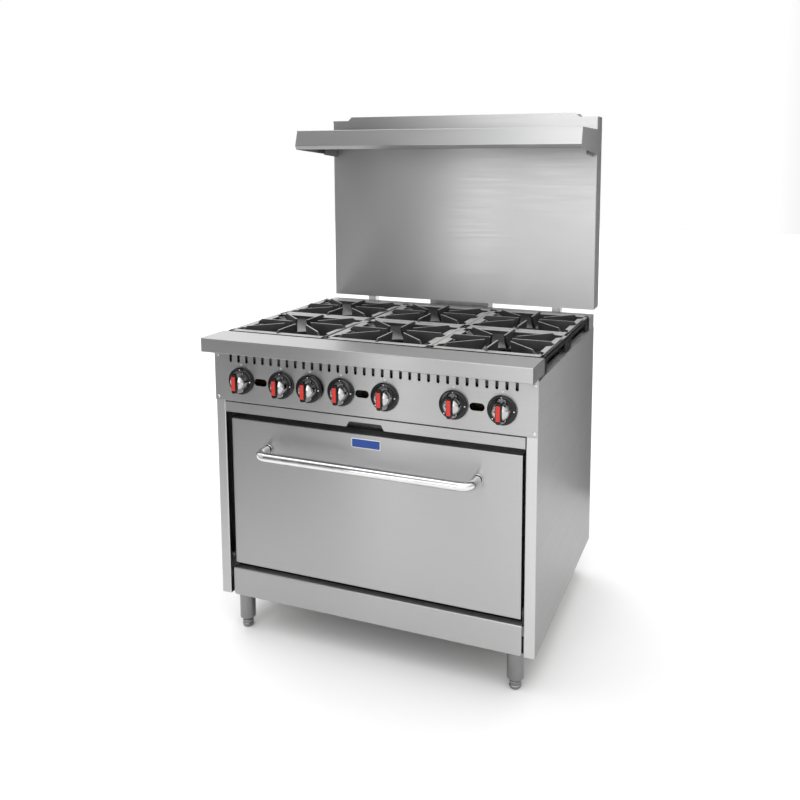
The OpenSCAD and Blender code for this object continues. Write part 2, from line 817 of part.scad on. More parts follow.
module knob(i) {
    x = knob_places[i - 1];
    pushes = x == thermostat_x;
    y0 = panel_y - knob_gap - (pushes ? push_travel : 0);
    r = knob_d / 2;
    deep = pushes ? 3 : stem_r;
    skirt = concat(
        [[deep, 0], [r, 0]],
        [for (k = [0:4]) [r - 3 + 3 * cos(90 * k / 4), 5 + 3 * sin(90 * k / 4)]],
        [[r - 12, 10], [deep, 10]]
    );
    grip_w = 19;
    stem_y = pushes ? panel_y + 22 : valve_y0 + 11;
    translate([x, y0, knob_z]) rotate([90, 0, 0]) {
        color(black) {
            rotate_extrude($fn = 64) polygon([for (p = skirt) [p.x + 0.04, p.y]]);
            difference() {
                intersection() {
                    translate([-grip_w / 2, -r, 9]) cube([grip_w, 2 * r, knob_h - knob_gap - 9]);
                    translate([0, 0, 9]) cylinder(r1 = 33, r2 = 27, h = knob_h);
                }
                translate([0, 0, 8]) cylinder(r = deep + 0.04, h = 14);
                translate([-5.5, -20, knob_h - knob_gap - 2]) cube([11, 40, 5]);
            }
        }
        color(red) translate([-5.3, -19.8, knob_h - knob_gap - 1.9]) cube([10.6, 39.6, 1.9]);
    }
    color(steel) rod([x, stem_y, knob_z], [x, y0 - 21, knob_z], deep);
}

// ---- Oven door ----

module door_panel() {
    ret = 44;
    depth = door_y + ret;
    plan = [[-door_x, depth], [-door_x, door_y], [door_x, door_y], [door_x, depth]];
    color(steel)
        difference() {
            union() {
                translate([0, 0, door_z]) linear_extrude(door_h) folded(plan);
                for (z = [door_z, door_z1 - sheet])
                    span([-door_x + 0.5, door_y + 0.3, z], [door_x - 0.5, depth, z + sheet]);
            }
            rod([-door_x - 1, hinge_y, hinge_z], [door_x + 1, hinge_y, hinge_z], pin_r + 1);
            for (sx = [-1, 1])
                door_rod(sx * handle_w / 2, -1, 3, stud_r + 0.2);
        }
}

module door_liner() {
    x1 = door_x - 4;
    z0 = door_z + 4;
    z1 = door_z1 - 4;
    plan = [[-x1, door_back - 9], [-x1, door_back], [x1, door_back], [x1, door_back - 9]];
    color(dark_steel)
        difference() {
            union() {
                translate([0, 0, z0]) linear_extrude(z1 - z0) folded([for (k = [3:-1:0]) plan[k]]);
                for (z = [z0, z1 - sheet])
                    span([-x1 + 0.5, door_back - 9, z], [x1 - 0.5, door_back - 0.3, z + sheet]);
            }
            rod([-door_x - 1, hinge_y, hinge_z], [door_x + 1, hinge_y, hinge_z], pin_r + 1);
        }
}

module door_insulation() {
    color(wool)
        difference() {
            span([-arm_x[0] + 2, door_y + 2.5, door_z + 6], [arm_x[0] - 2, door_back - 2, door_z1 - 6]);
            for (sx = [-1, 1])
                door_rod(sx * handle_w / 2, 0, 12, stud_r + 0.5);
        }
}

module door_hinge_arms() {
    color(dark_steel)
        for (sx = [-1, 1])
            difference() {
                span(
                    [sx * (arm_x[0] + arm_x[1]) / 2 - 7.5, door_y + 2.5, door_z + 2.5],
                    [sx * (arm_x[0] + arm_x[1]) / 2 + 7.5, door_back - 10, door_z + 90]
                );
                rod([sx * 390, hinge_y, hinge_z], [sx * 420, hinge_y, hinge_z], pin_r + 0.05);
            }
}

module door_handle() {
    r = handle_d / 2;
    straight = handle_w / 2 - handle_bend;
    bend_y = handle_y + handle_bend;
    color(steel) {
        rod([-straight, handle_y, handle_z], [straight, handle_y, handle_z], r);
        for (sx = [-1, 1]) mirror([sx < 0 ? 1 : 0, 0, 0]) {
            translate([straight, bend_y, handle_z])
                rotate([0, 0, -90]) rotate_extrude(angle = 90) translate([handle_bend, 0]) circle(r);
            rod([handle_w / 2, bend_y, handle_z], [handle_w / 2, door_y, handle_z], r);
            rod([handle_w / 2, door_y, handle_z], [handle_w / 2, door_y + 10, handle_z], stud_r);
        }
    }
}

module door_badge() {
    x = -4;
    z = 594.5;
    size = [83, 25];
    color(blue) along_y(door_y - 1.5, door_y) translate([x, z]) square(size, center = true);
}

module door_hinge_brackets() {
    t = 3.5;
    x0 = door_x + 2;
    color(dark_steel)
        for (sx = [-1, 1]) mirror([sx < 0 ? 1 : 0, 0, 0])
            difference() {
                union() {
                    span([x0, door_y + 4, frame_z0], [x0 + t, frame_y, frame_z0 + 38]);
                    span([x0, frame_y - 3, frame_z0], [x0 + 30, frame_y, frame_z0 + 38]);
                }
                rod([x0 - 1, hinge_y, hinge_z], [x0 + t + 1, hinge_y, hinge_z], pin_r + 0.02);
            }
}

module door_hinge_pins() {
    color(steel)
        for (sx = [-1, 1]) mirror([sx < 0 ? 1 : 0, 0, 0]) {
            rod([400, hinge_y, hinge_z], [door_x + 5.5, hinge_y, hinge_z], pin_r);
            rod([door_x + 5.5, hinge_y, hinge_z], [door_x + 8, hinge_y, hinge_z], pin_r + 3);
            rod([door_x + 8, hinge_y, hinge_z], [door_x + 30, hinge_y, hinge_z], 5);
        }
}

// A round wire swept along a helix about the X axis
module coil_spring(r, wire, pitch, turns, steps = 16, sides = 8) {
    n = turns * steps;
    ring = function (k, j)
        let (a = 360 * k / steps, b = 360 * j / sides, rr = r + wire * cos(b))
        [pitch * k / steps + wire * sin(b), rr * cos(a), rr * sin(a)];
    pts = [for (k = [0:n], j = [0:sides - 1]) ring(k, j)];
    quads = [
        for (k = [0:n - 1], j = [0:sides - 1])
            let (m = (j + 1) % sides)
                [k * sides + j, k * sides + m, (k + 1) * sides + m, (k + 1) * sides + j]
    ];
    ends = [[for (j = [sides - 1:-1:0]) j], [for (j = [0:sides - 1]) n * sides + j]];
    polyhedron(points = pts, faces = concat(quads, ends), convexity = 10);
}

module door_springs() {
    color(dark_steel)
        for (sx = [-1, 1]) mirror([sx < 0 ? 1 : 0, 0, 0])
            translate([door_x + 11, hinge_y, hinge_z]) coil_spring(8, 1.2, 3.2, 5);
}

// ---- Tray and racks ----

module crumb_tray() {
    notch = [[-53.5, strip_z0 - 1], [-45.5, 655], [45.5, 655], [53.5, strip_z0 - 1]];
    strip_x = 425;
    color(steel) {
        difference() {
            span([-tray_x, tray_y0, tray_z0], [tray_x, tray_y1, tray_z1]);
            span(
                [-tray_x + sheet, tray_y0 + sheet, tray_z0 + sheet],
                [tray_x - sheet, tray_y1 - sheet, tray_z1 + 1]
            );
        }
        span([-tray_x, panel_y, tray_z1 - sheet], [tray_x, tray_y0 + 0.5, tray_z1]);
        difference() {
            span([-strip_x, panel_y, strip_z0], [strip_x, panel_y + sheet, strip_z1]);
            along_y(panel_y - 1, panel_y + 3) polygon(notch);
        }
    }
}

module rack(z) {
    wires = 22;
    r = rack_rod;
    y0 = rack_y[0] + r;
    y1 = rack_y[1] - r;
    color(steel) {
        for (y = [y0, y1]) rod([-rack_x, y, z], [rack_x, y, z], r);
        for (s = [-1, 1]) rod([s * rack_x, y0, z], [s * rack_x, y1, z], r);
        for (s = [-1, 1], y = [y0, y1]) translate([s * rack_x, y, z]) sphere(r);
        rod([-rack_x, (y0 + y1) / 2, z], [rack_x, (y0 + y1) / 2, z], 3);
        for (k = [1:wires - 1]) {
            x = -rack_x + 2 * rack_x * k / wires;
            rod([x, y0, z + 1], [x, y1, z + 1], 2);
        }
    }
}

// ---- Legs ----

module leg_tubes() {
    r = leg_d / 2;
    nose = foot_d / 2 + 0.5;
    shoulder = 12;
    profile = [
        [10.05, foot_h + 0.4], [nose, foot_h + 0.4], [r, foot_h + shoulder], [r, frame_bottom + sheet],
        [0, frame_bottom + sheet], [0, frame_bottom - 3], [r - 2, frame_bottom - 3], [r - 2, 50], [10.05, 50]
    ];
    color(steel)
        for (p = leg_places) translate([p.x, p.y, 0]) rotate_extrude() polygon(profile);
}

module foot(i) {
    p = leg_places[i - 1];
    r = foot_d / 2;
    round = [for (k = [0:6]) [r - 8 + 8 * sin(90 * k / 6), 8 - 8 * cos(90 * k / 6)]];
    profile = concat([[0, 0]], round, [[r, foot_h], [10, foot_h], [10, 85], [0, 85]]);
    color(steel) translate([p.x, p.y, 0]) rotate_extrude() polygon(profile);
}

// ---- Backguard and shelf ----

module backguard_front() {
    x1 = guard_x;
    y0 = guard_front;
    y1 = guard_back;
    plan = [[-x1 + 14, y1], [-x1, y1], [-x1, y0], [x1, y0], [x1, y1], [x1 - 14, y1]];
    face = [
        [-x1, guard_z1], [-rise_x[0], guard_z1], [-rise_x[1], guard_z1 + guard_rise],
        [rise_x[1], guard_z1 + guard_rise], [rise_x[0], guard_z1], [x1, guard_z1],
        [x1, guard_z1 - 5], [-x1, guard_z1 - 5]
    ];
    color(steel)
        difference() {
            union() {
                translate([0, 0, guard_z0]) linear_extrude(guard_z1 - guard_z0) folded(plan);
                along_y(y0, y0 + sheet) polygon(face);
                // Bottom closure and the two top shoulders
                span([-x1 + 0.5, y0 + 0.5, guard_z0], [x1 - 0.5, y1 - 0.5, guard_z0 + sheet]);
                for (sx = [-1, 1]) mirror([sx < 0 ? 1 : 0, 0, 0])
                    span([rise_x[0], y0 + 0.5, guard_z1 - sheet], [x1 - 0.5, y1 - 0.5, guard_z1]);
            }
            for (sx = [-1, 1])
                span(
                    [sx * post_x - post_w / 2 - 0.5, post_y - 0.5, guard_z0 - 1],
                    [sx * post_x + post_w / 2 + 0.5, post_y + post_w + 0.5, guard_z0 + 3]
                );
            span([-flue_x - 0.5, rear_y + 12, guard_z0 - 1], [flue_x + 0.5, guard_y - 4, guard_z0 + 3]);
            screw_shanks(screw_r + 0.1);
        }
}

module backguard_rear() {
    outlet = [for (k = [-3:3]) k * 105];
    color(dark_steel)
        difference() {
            along_y(guard_back, guard_back + sheet)
                polygon([
                    [-guard_x, guard_z0], [guard_x, guard_z0], [guard_x, guard_z1], [rise_x[0], guard_z1],
                    [rise_x[1], guard_z1 + guard_rise], [-rise_x[1], guard_z1 + guard_rise],
                    [-rise_x[0], guard_z1], [-guard_x, guard_z1]
                ]);
            along_y(guard_back - 1, guard_y + 1)
                for (x = outlet) translate([x, guard_z1 - 60]) oval(80, 14);
            screw_shanks(screw_r + 0.1);
        }
}

module backguard_posts() {
    color(dark_steel)
        for (sx = [-1, 1]) {
            x0 = sx * post_x - post_w / 2;
            x1 = sx * post_x + post_w / 2;
            difference() {
                span([x0, post_y, 620], [x1, post_y + post_w, 1100]);
                span([x0 + 2, post_y + 2, 619], [x1 - 2, post_y + post_w - 2, 1101]);
            }
            for (z = [640, 770]) span([x0, rear_y, z], [x1, post_y + 0.5, z + 20]);
        }
}

module flue_duct() {
    x1 = flue_x;
    z0 = 500;
    low_z = 830;
    y1 = guard_y - 6;
    neck_y = rear_y + 13;
    color(dark_steel) {
        difference() {
            span([-x1, rear_y, z0], [x1, y1, low_z]);
            span([-x1 + sheet, rear_y - 1, z0 + sheet], [x1 - sheet, y1 - sheet, low_z - sheet]);
            span([-x1 + sheet, neck_y + sheet, z0 + 10], [x1 - sheet, y1 - sheet, low_z + 1]);
        }
        difference() {
            span([-x1, neck_y, low_z - 1], [x1, y1, guard_z0 + 20]);
            span([-x1 + sheet, neck_y + sheet, low_z - 2], [x1 - sheet, y1 - sheet, guard_z0 + 21]);
        }
    }
}

module high_shelf() {
    w = shelf_x;
    y1 = guard_front;
    lip_z = shelf_z - 48;
    hem_z = shelf_z - 60;
    section = [
        [y1, shelf_z - 20], [y1, shelf_z], [shelf_lip[0], shelf_z], [shelf_lip[1], lip_z],
        [shelf_lip[1] + 7, hem_z], [shelf_lip[1] + 16, hem_z + 6]
    ];
    cheek = [
        [shelf_lip[0], shelf_z], [shelf_lip[1], lip_z], [shelf_lip[1] + 7, hem_z],
        [y1, shelf_z - 76], [y1, shelf_z]
    ];
    color(steel) {
        along_x(-w + 0.3, w - 0.3) folded(section);
        for (sx = [-1, 1]) mirror([sx < 0 ? 1 : 0, 0, 0]) along_x(w - sheet, w) polygon(cheek);
    }
}

module shelf_brackets() {
    y0 = guard_front - 93;
    t = 3;
    outline = [
        [y0, shelf_z - 75], [guard_front, shelf_z - 82], [guard_front, shelf_z - 21],
        [guard_front - 14, shelf_z - sheet], [y0 + 20, shelf_z - sheet]
    ];
    color(dark_steel)
        for (sx = [-1, 1]) mirror([sx < 0 ? 1 : 0, 0, 0]) {
            along_x(438, 438 + t) polygon(outline);
        }
}

// ---- Screws ----

module screws() {
    color(steel)
        for (s = all_screws)
            translate([s[0], s[2], s[1]]) rotate([s[3] > 0 ? -90 : 90, 0, 0]) {
                cylinder(r1 = screw_head, r2 = screw_head - 1.5, h = 1.5);
                translate([0, 0, -6]) cylinder(r = screw_r, h = 6);
            }
}

side_panel_left();
side_panel_right();
back_panel();
base_frame();
oven_front_frame();
oven_liner();
oven_bottom_plate();
oven_insulation();
rack_guides();
kick_plate();
control_panel();
front_ledge();
rear_rail();
burner_supports();
backguard_front();
backguard_rear();
backguard_posts();
flue_duct();
high_shelf();
shelf_brackets();
leg_tubes();
burner_bodies();
burner_heads();
gas_pipework();
gas_valves();
pilot_burners();
oven_thermostat();
oven_burner();
gas_regulator();
screws();
door_hinge_brackets();
door_hinge_pins();
door_springs();
door_panel();
door_liner();
door_insulation();
door_handle();
door_badge();
door_hinge_arms();
thermostat_stem();
crumb_tray();
rack(rack_z[1]);  // rack_upper
rack(rack_z[0]);  // rack_lower
for (i = KNOBS) knob(i);
for (i = GRATES) grate_node(i);
for (i = FEET) foot(i);
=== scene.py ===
import json
import math

import bmesh
import bpy
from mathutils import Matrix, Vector


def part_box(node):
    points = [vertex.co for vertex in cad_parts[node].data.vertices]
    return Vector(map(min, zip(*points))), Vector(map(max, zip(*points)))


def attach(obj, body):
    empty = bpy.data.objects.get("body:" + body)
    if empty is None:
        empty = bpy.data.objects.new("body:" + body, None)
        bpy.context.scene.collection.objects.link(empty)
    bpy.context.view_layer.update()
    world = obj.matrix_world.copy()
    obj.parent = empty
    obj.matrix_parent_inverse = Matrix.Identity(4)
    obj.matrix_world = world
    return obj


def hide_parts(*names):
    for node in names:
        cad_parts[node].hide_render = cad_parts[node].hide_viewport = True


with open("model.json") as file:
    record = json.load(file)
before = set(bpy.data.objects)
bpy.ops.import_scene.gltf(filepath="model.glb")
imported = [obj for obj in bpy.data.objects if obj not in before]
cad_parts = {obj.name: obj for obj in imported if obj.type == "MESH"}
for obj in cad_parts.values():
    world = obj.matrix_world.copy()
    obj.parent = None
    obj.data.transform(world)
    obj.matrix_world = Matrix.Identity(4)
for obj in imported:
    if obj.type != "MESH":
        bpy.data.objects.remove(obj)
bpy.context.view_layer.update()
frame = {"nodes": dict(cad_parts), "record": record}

MM = 0.001
# Thickness of the stainless sheets
SHEET = 1.2 * MM
# Edges that turn more than this get a fine bevel
SHARP_TURN = math.radians(32)
# Sockets of a Mix node that works on colours
MIX_A, MIX_B, MIX_RESULT = 6, 7, 2
NODE_SLOTS = {part["node"]: part["material_slot"] for part in frame["record"]["subparts"]}
BODY_NODES = frame["record"]["behaviour"]["bodies"]
NODE_BODIES = {node: body for body, nodes in BODY_NODES.items() for node in nodes}


# ---- Flat outlines ----


def corner(a, b, c, radius, steps):
    """The points of a rounded corner at b, between a and c."""
    u = (a - b).normalized()
    w = (c - b).normalized()
    half = math.acos(max(-1.0, min(1.0, u.dot(w)))) / 2
    centre = b + (u + w).normalized() * radius / math.sin(half)
    start = b + u * radius / math.tan(half) - centre
    end = b + w * radius / math.tan(half) - centre
    turn = math.atan2(start.x * end.y - start.y * end.x, start.dot(end))
    points = []
    for k in range(steps + 1):
        angle = turn * k / steps
        points.append(centre + Vector((
            start.x * math.cos(angle) - start.y * math.sin(angle),
            start.x * math.sin(angle) + start.y * math.cos(angle),
        )))
    return points


def rounded(path, radius, steps=8, closed=False):
    """A path of 2D points with its corners rounded."""
    path = [Vector(p) for p in path]
    count = len(path)
    points = []
    for i in range(count):
        if not closed and i in (0, count - 1):
            points.append(path[i])
        else:
            points += corner(path[i - 1], path[i], path[(i + 1) % count], radius, steps)
    return points


def moved(path, distance):
    """The same open path moved sideways, to the left of its direction."""
    points = []
    last = len(path) - 1
    for i, p in enumerate(path):
        before = (path[max(i, 1)] - path[max(i, 1) - 1]).normalized()
        after = (path[min(i + 1, last)] - path[min(i + 1, last) - 1]).normalized()
        a = Vector((-before.y, before.x))
        b = Vector((-after.y, after.x))
        points.append(p + (a + b) * distance / (1 + a.dot(b)))
    return points


# ---- Places: how a flat outline and a depth become a point ----


def along_x(u, v, depth):
    return Vector((depth, u, v))


def along_y(u, v, depth):
    return Vector((u, depth, v))


def along_z(u, v, depth):
    return Vector((u, v, depth))


# ---- Solids in a bmesh ----


def add_sheet(bm, path, thickness, radius, ends, place):
    """A bent sheet: an open path with round bends, thickened and pulled along."""
    outer = rounded(path, radius)
    line = outer + moved(outer, thickness)
    rows = [[bm.verts.new(place(p.x, p.y, end)) for p in line] for end in ends]
    n = len(outer)
    near, far = rows
    for i in range(n - 1):
        bm.faces.new((near[i], near[i + 1], far[i + 1], far[i]))
        bm.faces.new((near[n + i + 1], near[n + i], far[n + i], far[n + i + 1]))
        bm.faces.new((near[i + 1], near[i], near[n + i], near[n + i + 1]))
        bm.faces.new((far[i], far[i + 1], far[n + i + 1], far[n + i]))
    for i in (0, n - 1):
        bm.faces.new((near[i], far[i], far[n + i], near[n + i]))


def add_prism(bm, outline, ends, place, material=0):
    """A closed outline pulled between two depths."""
    rows = [[bm.verts.new(place(p[0], p[1], end)) for p in outline] for end in ends]
    n = len(outline)
    faces = [bm.faces.new(rows[0]), bm.faces.new(list(reversed(rows[1])))]
    for i in range(n):
        j = (i + 1) % n
        faces.append(bm.faces.new((rows[0][j], rows[0][i], rows[1][i], rows[1][j])))
    for face in faces:
        face.material_index = material


def add_block(bm, lo, hi, material=0):
    """A box between two opposite corners."""
    outline = [(lo[0], lo[1]), (hi[0], lo[1]), (hi[0], hi[1]), (lo[0], hi[1])]
    add_prism(bm, outline, (lo[2], hi[2]), along_z, material)


def add_loft(bm, rings, material=0, closed=True, caps=True):
    """Rings of points with equal counts, joined side by side."""
    rows = [[bm.verts.new(p) for p in ring] for ring in rings]
    n = len(rows[0])
    for a, b in zip(rows, rows[1:]):
        for i in range(n if closed else n - 1):
            j = (i + 1) % n
            bm.faces.new((a[i], a[j], b[j], b[i])).material_index = material
    if caps:
        for row in (rows[0], rows[-1]):
            bm.faces.new(row).material_index = material


def add_lathe(bm, profile, place, steps=48, material=0, closed=False):
    """A profile of (radius, height) turned round; place maps (u, v, height) to a point."""
    rings = []
    for radius, height in profile:
        ring = []
        for k in range(steps):
            angle = math.tau * k / steps
            ring.append(place(radius * math.cos(angle), radius * math.sin(angle), height))
        rings.append(ring)
    if closed:
        rings.append(rings[0])
        add_loft(bm, rings, material, caps=False)
    else:
        add_loft(bm, rings, material)


def add_tube(bm, path, radius, steps=28, material=0):
    """A round tube along a smooth path of points, with flat ends."""
    rings = []
    side = Vector((0, 0, 1))
    for i, p in enumerate(path):
        direction = (path[min(i + 1, len(path) - 1)] - path[max(i - 1, 0)]).normalized()
        side = (side - direction * side.dot(direction)).normalized()
        up = direction.cross(side)
        ring = []
        for k in range(steps):
            angle = math.tau * k / steps
            ring.append(p + side * radius * math.cos(angle) + up * radius * math.sin(angle))
        rings.append(ring)
    add_loft(bm, rings, material)


def make_piece(name, bm, materials, node, stands_for=None, bevel=0.35 * MM, steps=2, extra=()):
    """Turns a bmesh into a piece that rides with a node's body. stands_for lists the nodes it replaces."""
    bmesh.ops.remove_doubles(bm, verts=bm.verts, dist=1e-7)
    bmesh.ops.recalc_face_normals(bm, faces=bm.faces)
    mesh = bpy.data.meshes.new(name)
    bm.to_mesh(mesh)
    bm.free()
    mesh.shade_smooth()
    for material in materials:
        mesh.materials.append(material)
    piece = bpy.data.objects.new(name, mesh)
    bpy.context.scene.collection.objects.link(piece)
    for kind, settings in extra:
        modifier = piece.modifiers.new(kind.lower(), kind)
        for key, value in settings.items():
            setattr(modifier, key, value)
    if bevel:
        edge = piece.modifiers.new("edges", "BEVEL")
        edge.width = bevel
        edge.segments = steps
        edge.limit_method = "ANGLE"
        edge.angle_limit = SHARP_TURN
    weighted = piece.modifiers.new("normals", "WEIGHTED_NORMAL")
    weighted.keep_sharp = True
    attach(piece, NODE_BODIES[node])
    if stands_for:
        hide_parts(*stands_for)


# ---- Materials ----


class Surface:
    """A Principled material with short ways to add noise, ramps and bumps."""

    def __init__(self, name, **sockets):
        self.material = bpy.data.materials.new(name)
        self.material.use_nodes = True
        self.tree = self.material.node_tree
        self.shader = self.tree.nodes["Principled BSDF"]
        for key, value in sockets.items():
            self.shader.inputs[key.replace("_", " ")].default_value = value
        self.place = self.tree.nodes.new("ShaderNodeTexCoord").outputs["Object"]

    def join(self, source, target):
        self.tree.links.new(source, target)

    def noise(self, scale, detail=3.0, stretch=(1, 1, 1), roughness=0.55):
        mapping = self.tree.nodes.new("ShaderNodeMapping")
        mapping.inputs["Scale"].default_value = stretch
        self.join(self.place, mapping.inputs["Vector"])
        texture = self.tree.nodes.new("ShaderNodeTexNoise")
        texture.inputs["Scale"].default_value = scale
        texture.inputs["Detail"].default_value = detail
        texture.inputs["Roughness"].default_value = roughness
        self.join(mapping.outputs["Vector"], texture.inputs["Vector"])
        return texture.outputs["Fac"]

    def cells(self, scale):
        texture = self.tree.nodes.new("ShaderNodeTexVoronoi")
        texture.inputs["Scale"].default_value = scale
        self.join(self.place, texture.inputs["Vector"])
        return texture.outputs["Color"]

    def ramp(self, value, *stops):
        node = self.tree.nodes.new("ShaderNodeValToRGB")
        elements = node.color_ramp.elements
        while len(elements) < len(stops):
            elements.new(0.5)
        for element, (position, colour) in zip(elements, stops):
            element.position = position
            element.color = (*colour, 1)
        self.join(value, node.inputs["Fac"])
        return node.outputs["Color"]

    def between(self, value, low, high, start=0.3, end=0.7):
        """Goes from low to high while value goes from start to end."""
        node = self.tree.nodes.new("ShaderNodeMapRange")
        node.inputs["From Min"].default_value = start
        node.inputs["From Max"].default_value = end
        node.inputs["To Min"].default_value = low
        node.inputs["To Max"].default_value = high
        self.join(value, node.inputs["Value"])
        return node.outputs["Result"]

    def blend(self, first, second, factor=0.5):
        node = self.tree.nodes.new("ShaderNodeMix")
        node.data_type = "RGBA"
        node.blend_type = "MIX"
        if isinstance(factor, float):
            node.inputs["Factor"].default_value = factor
        else:
            self.join(factor, node.inputs["Factor"])
        self.join(first, node.inputs[MIX_A])
        self.join(second, node.inputs[MIX_B])
        return node.outputs[MIX_RESULT]

    def colour(self, source):
        self.join(source, self.shader.inputs["Base Color"])

    def roughness(self, source):
        self.join(source, self.shader.inputs["Roughness"])

    def bump(self, *heights):
        """Each height is (value, distance in metres, strength)."""
        normal = None
        for value, distance, strength in heights:
            node = self.tree.nodes.new("ShaderNodeBump")
            node.inputs["Distance"].default_value = distance
            node.inputs["Strength"].default_value = strength
            self.join(value, node.inputs["Height"])
            if normal:
                self.join(normal, node.inputs["Normal"])
            normal = node.outputs["Normal"]
        self.join(normal, self.shader.inputs["Normal"])


def grey(value, warmth=0.0):
    """A grey as a colour, with a slight lean to warm or cold."""
    return (value * (1 + warmth), value, value * (1 - warmth))


def brushed_steel(name, grain, light=0.39, rough=(0.3, 0.36)):
    """Stainless sheet with fine grain along the axis that grain says, so that highlights smear across it."""
    made = Surface(name, Metallic=1.0, Anisotropic=0.88)
    fineness = 60
    stretch = [1 if axis == grain else fineness for axis in "XYZ"]
    streaks = made.noise(9.0, 5.0, stretch)
    fine = made.noise(45.0, 2.0, stretch)
    clouds = made.noise(3.2, 4.0)
    made.colour(made.blend(
        made.ramp(streaks, (0.3, grey(light * 0.97)), (0.7, grey(light * 1.03))),
        made.ramp(clouds, (0.3, grey(light * 0.96, -0.006)), (0.7, grey(light * 1.03, 0.004))),
    ))
    made.roughness(made.between(made.noise(5.0, 6.0, stretch), *rough))
    made.bump((fine, 0.00001, 0.3))
    tangent = made.tree.nodes.new("ShaderNodeCombineXYZ")
    tangent.inputs["Y"].default_value = 0.02
    tangent.inputs["Z"].default_value = 1.0
    made.join(tangent.outputs["Vector"], made.shader.inputs["Tangent"])
    return made.material


def polished_steel(name, light=0.6, rough=(0.11, 0.19)):
    """Drawn tube with a bright finish and faint handling marks."""
    made = Surface(name, Metallic=1.0)
    clouds = made.noise(26.0, 5.0)
    scratches = made.noise(260.0, 3.0, (1, 14, 14))
    made.colour(made.ramp(clouds, (0.3, grey(light * 0.93)), (0.7, grey(light * 1.05, 0.004))))
    made.roughness(made.between(clouds, *rough))
    made.bump((scratches, 0.00002, 0.35))
    return made.material


def plain_sheet(name, light=0.34):
    """Galvanised sheet with a faint spangle."""
    made = Surface(name, Metallic=1.0)
    spangle = made.cells(110.0)
    dust = made.noise(14.0, 6.0)
    made.colour(made.blend(
        made.ramp(spangle, (0.1, grey(light * 0.82)), (0.9, grey(light * 1.12))),
        made.ramp(dust, (0.3, grey(light * 0.86, 0.02)), (0.7, grey(light * 1.06))),
    ))
    made.roughness(made.between(spangle, 0.38, 0.52, 0.0, 1.0))
    made.bump((dust, 0.0003, 0.2))
    return made.material


def shaded_flank_iron(name):
    """Dead black iron on the grates' outer flanks, darker than the rest of the casting as painted shade."""
    made = Surface(name, Metallic=0.0, IOR=1.16)
    crust = made.noise(240.0, 5.0)
    made.colour(made.ramp(crust, (0.3, grey(0.006)), (0.7, grey(0.018, 0.02))))
    made.roughness(made.between(crust, 0.6, 0.8))
    made.bump((crust, 0.0003, 0.3))
    return made.material


def cast_iron(name):
    """Sand-cast iron under a thin black coat: pebbled, with a dull sheen, and light grey on faces that point
    up, partly as wear where pans slide and partly as painted sheen.
    """
    made = Surface(name, Metallic=0.0, IOR=1.5)
    grains = made.noise(620.0, 4.0)
    lumps = made.noise(95.0, 5.0)
    wear = made.noise(17.0, 6.0)
    coat = made.blend(
        made.ramp(grains, (0.3, grey(0.012)), (0.7, grey(0.03, 0.01))),
        made.ramp(wear, (0.35, grey(0.014)), (0.7, grey(0.04, 0.02))),
    )
    wear_and_painted_sheen = made.ramp(wear, (0.25, grey(0.26)), (0.75, grey(0.42, 0.01)))
    facing = made.tree.nodes.new("ShaderNodeSeparateXYZ")
    made.join(made.tree.nodes["Texture Coordinate"].outputs["Normal"], facing.inputs["Vector"])
    # Faces that point up turn light grey: partly wear, partly painted sheen
    made.colour(made.blend(coat, wear_and_painted_sheen, made.between(facing.outputs["Z"], 0.0, 1.0, 0.93, 0.995)))
    made.roughness(made.between(wear, 0.4, 0.52))
    made.bump((grains, 0.00012, 0.3), (lumps, 0.0004, 0.2))
    return made.material


def pipe_steel(name):
    """Dark gas pipe with patches of light oxide."""
    made = Surface(name, Metallic=0.85)
    scale = made.noise(45.0, 6.0)
    bare, dull, rust = (0.11, 0.11, 0.115), (0.17, 0.165, 0.16), (0.2, 0.15, 0.11)
    made.colour(made.ramp(scale, (0.3, bare), (0.6, dull), (0.8, rust)))
    made.roughness(made.between(scale, 0.38, 0.6))
    made.bump((made.noise(380.0, 3.0), 0.0001, 0.4))
    return made.material


def brass(name, shade=1.0):
    """Cast brass with patches of tarnish; a low shade darkens it almost to black, as painted shade."""
    made = Surface(name, Metallic=1.0)
    tarnish = made.noise(60.0, 6.0)
    dull = (0.46 * shade, 0.29 * shade, 0.1 * shade)
    clean = (0.72 * shade, 0.51 * shade, 0.22 * shade)
    made.colour(made.ramp(tarnish, (0.3, dull), (0.7, clean)))
    made.roughness(made.between(tarnish, 0.22, 0.42))
    made.bump((made.noise(900.0, 2.0), 0.00004, 0.4))
    return made.material


def glass_wool(name):
    """Yellow insulating wool: matted fibres in soft tufts."""
    made = Surface(name, Metallic=0.0, Roughness=0.95)
    fibres = made.noise(240.0, 8.0, (1, 6, 1), 0.75)
    tufts = made.noise(30.0, 6.0)
    made.colour(made.blend(
        made.ramp(fibres, (0.3, (0.52, 0.44, 0.2)), (0.7, (0.86, 0.8, 0.52))),
        made.ramp(tufts, (0.3, (0.6, 0.52, 0.28)), (0.7, (0.84, 0.78, 0.5))),
    ))
    made.bump((fibres, 0.0012, 0.8), (tufts, 0.003, 0.5))
    return made.material


def black_plastic(name, light=0.005, rough=(0.07, 0.14)):
    """Glossy moulded plastic with a fine flow pattern and light scuffs."""
    made = Surface(name, Metallic=0.0, IOR=1.42)
    scuffs = made.noise(190.0, 6.0)
    made.colour(made.ramp(scuffs, (0.3, grey(light * 0.7)), (0.7, grey(light * 1.5))))
    made.roughness(made.between(scuffs, *rough))
    made.bump((made.noise(1500.0, 2.0), 0.00002, 0.3))
    return made.material


def painted(name, dark, light, rough=(0.28, 0.4)):
    """A printed or painted patch with slight colour variation."""
    made = Surface(name, Metallic=0.0)
    mottle = made.noise(420.0, 4.0)
    made.colour(made.ramp(mottle, (0.3, dark), (0.7, light)))
    made.roughness(made.between(mottle, *rough))
    made.bump((mottle, 0.00003, 0.3))
    return made.material


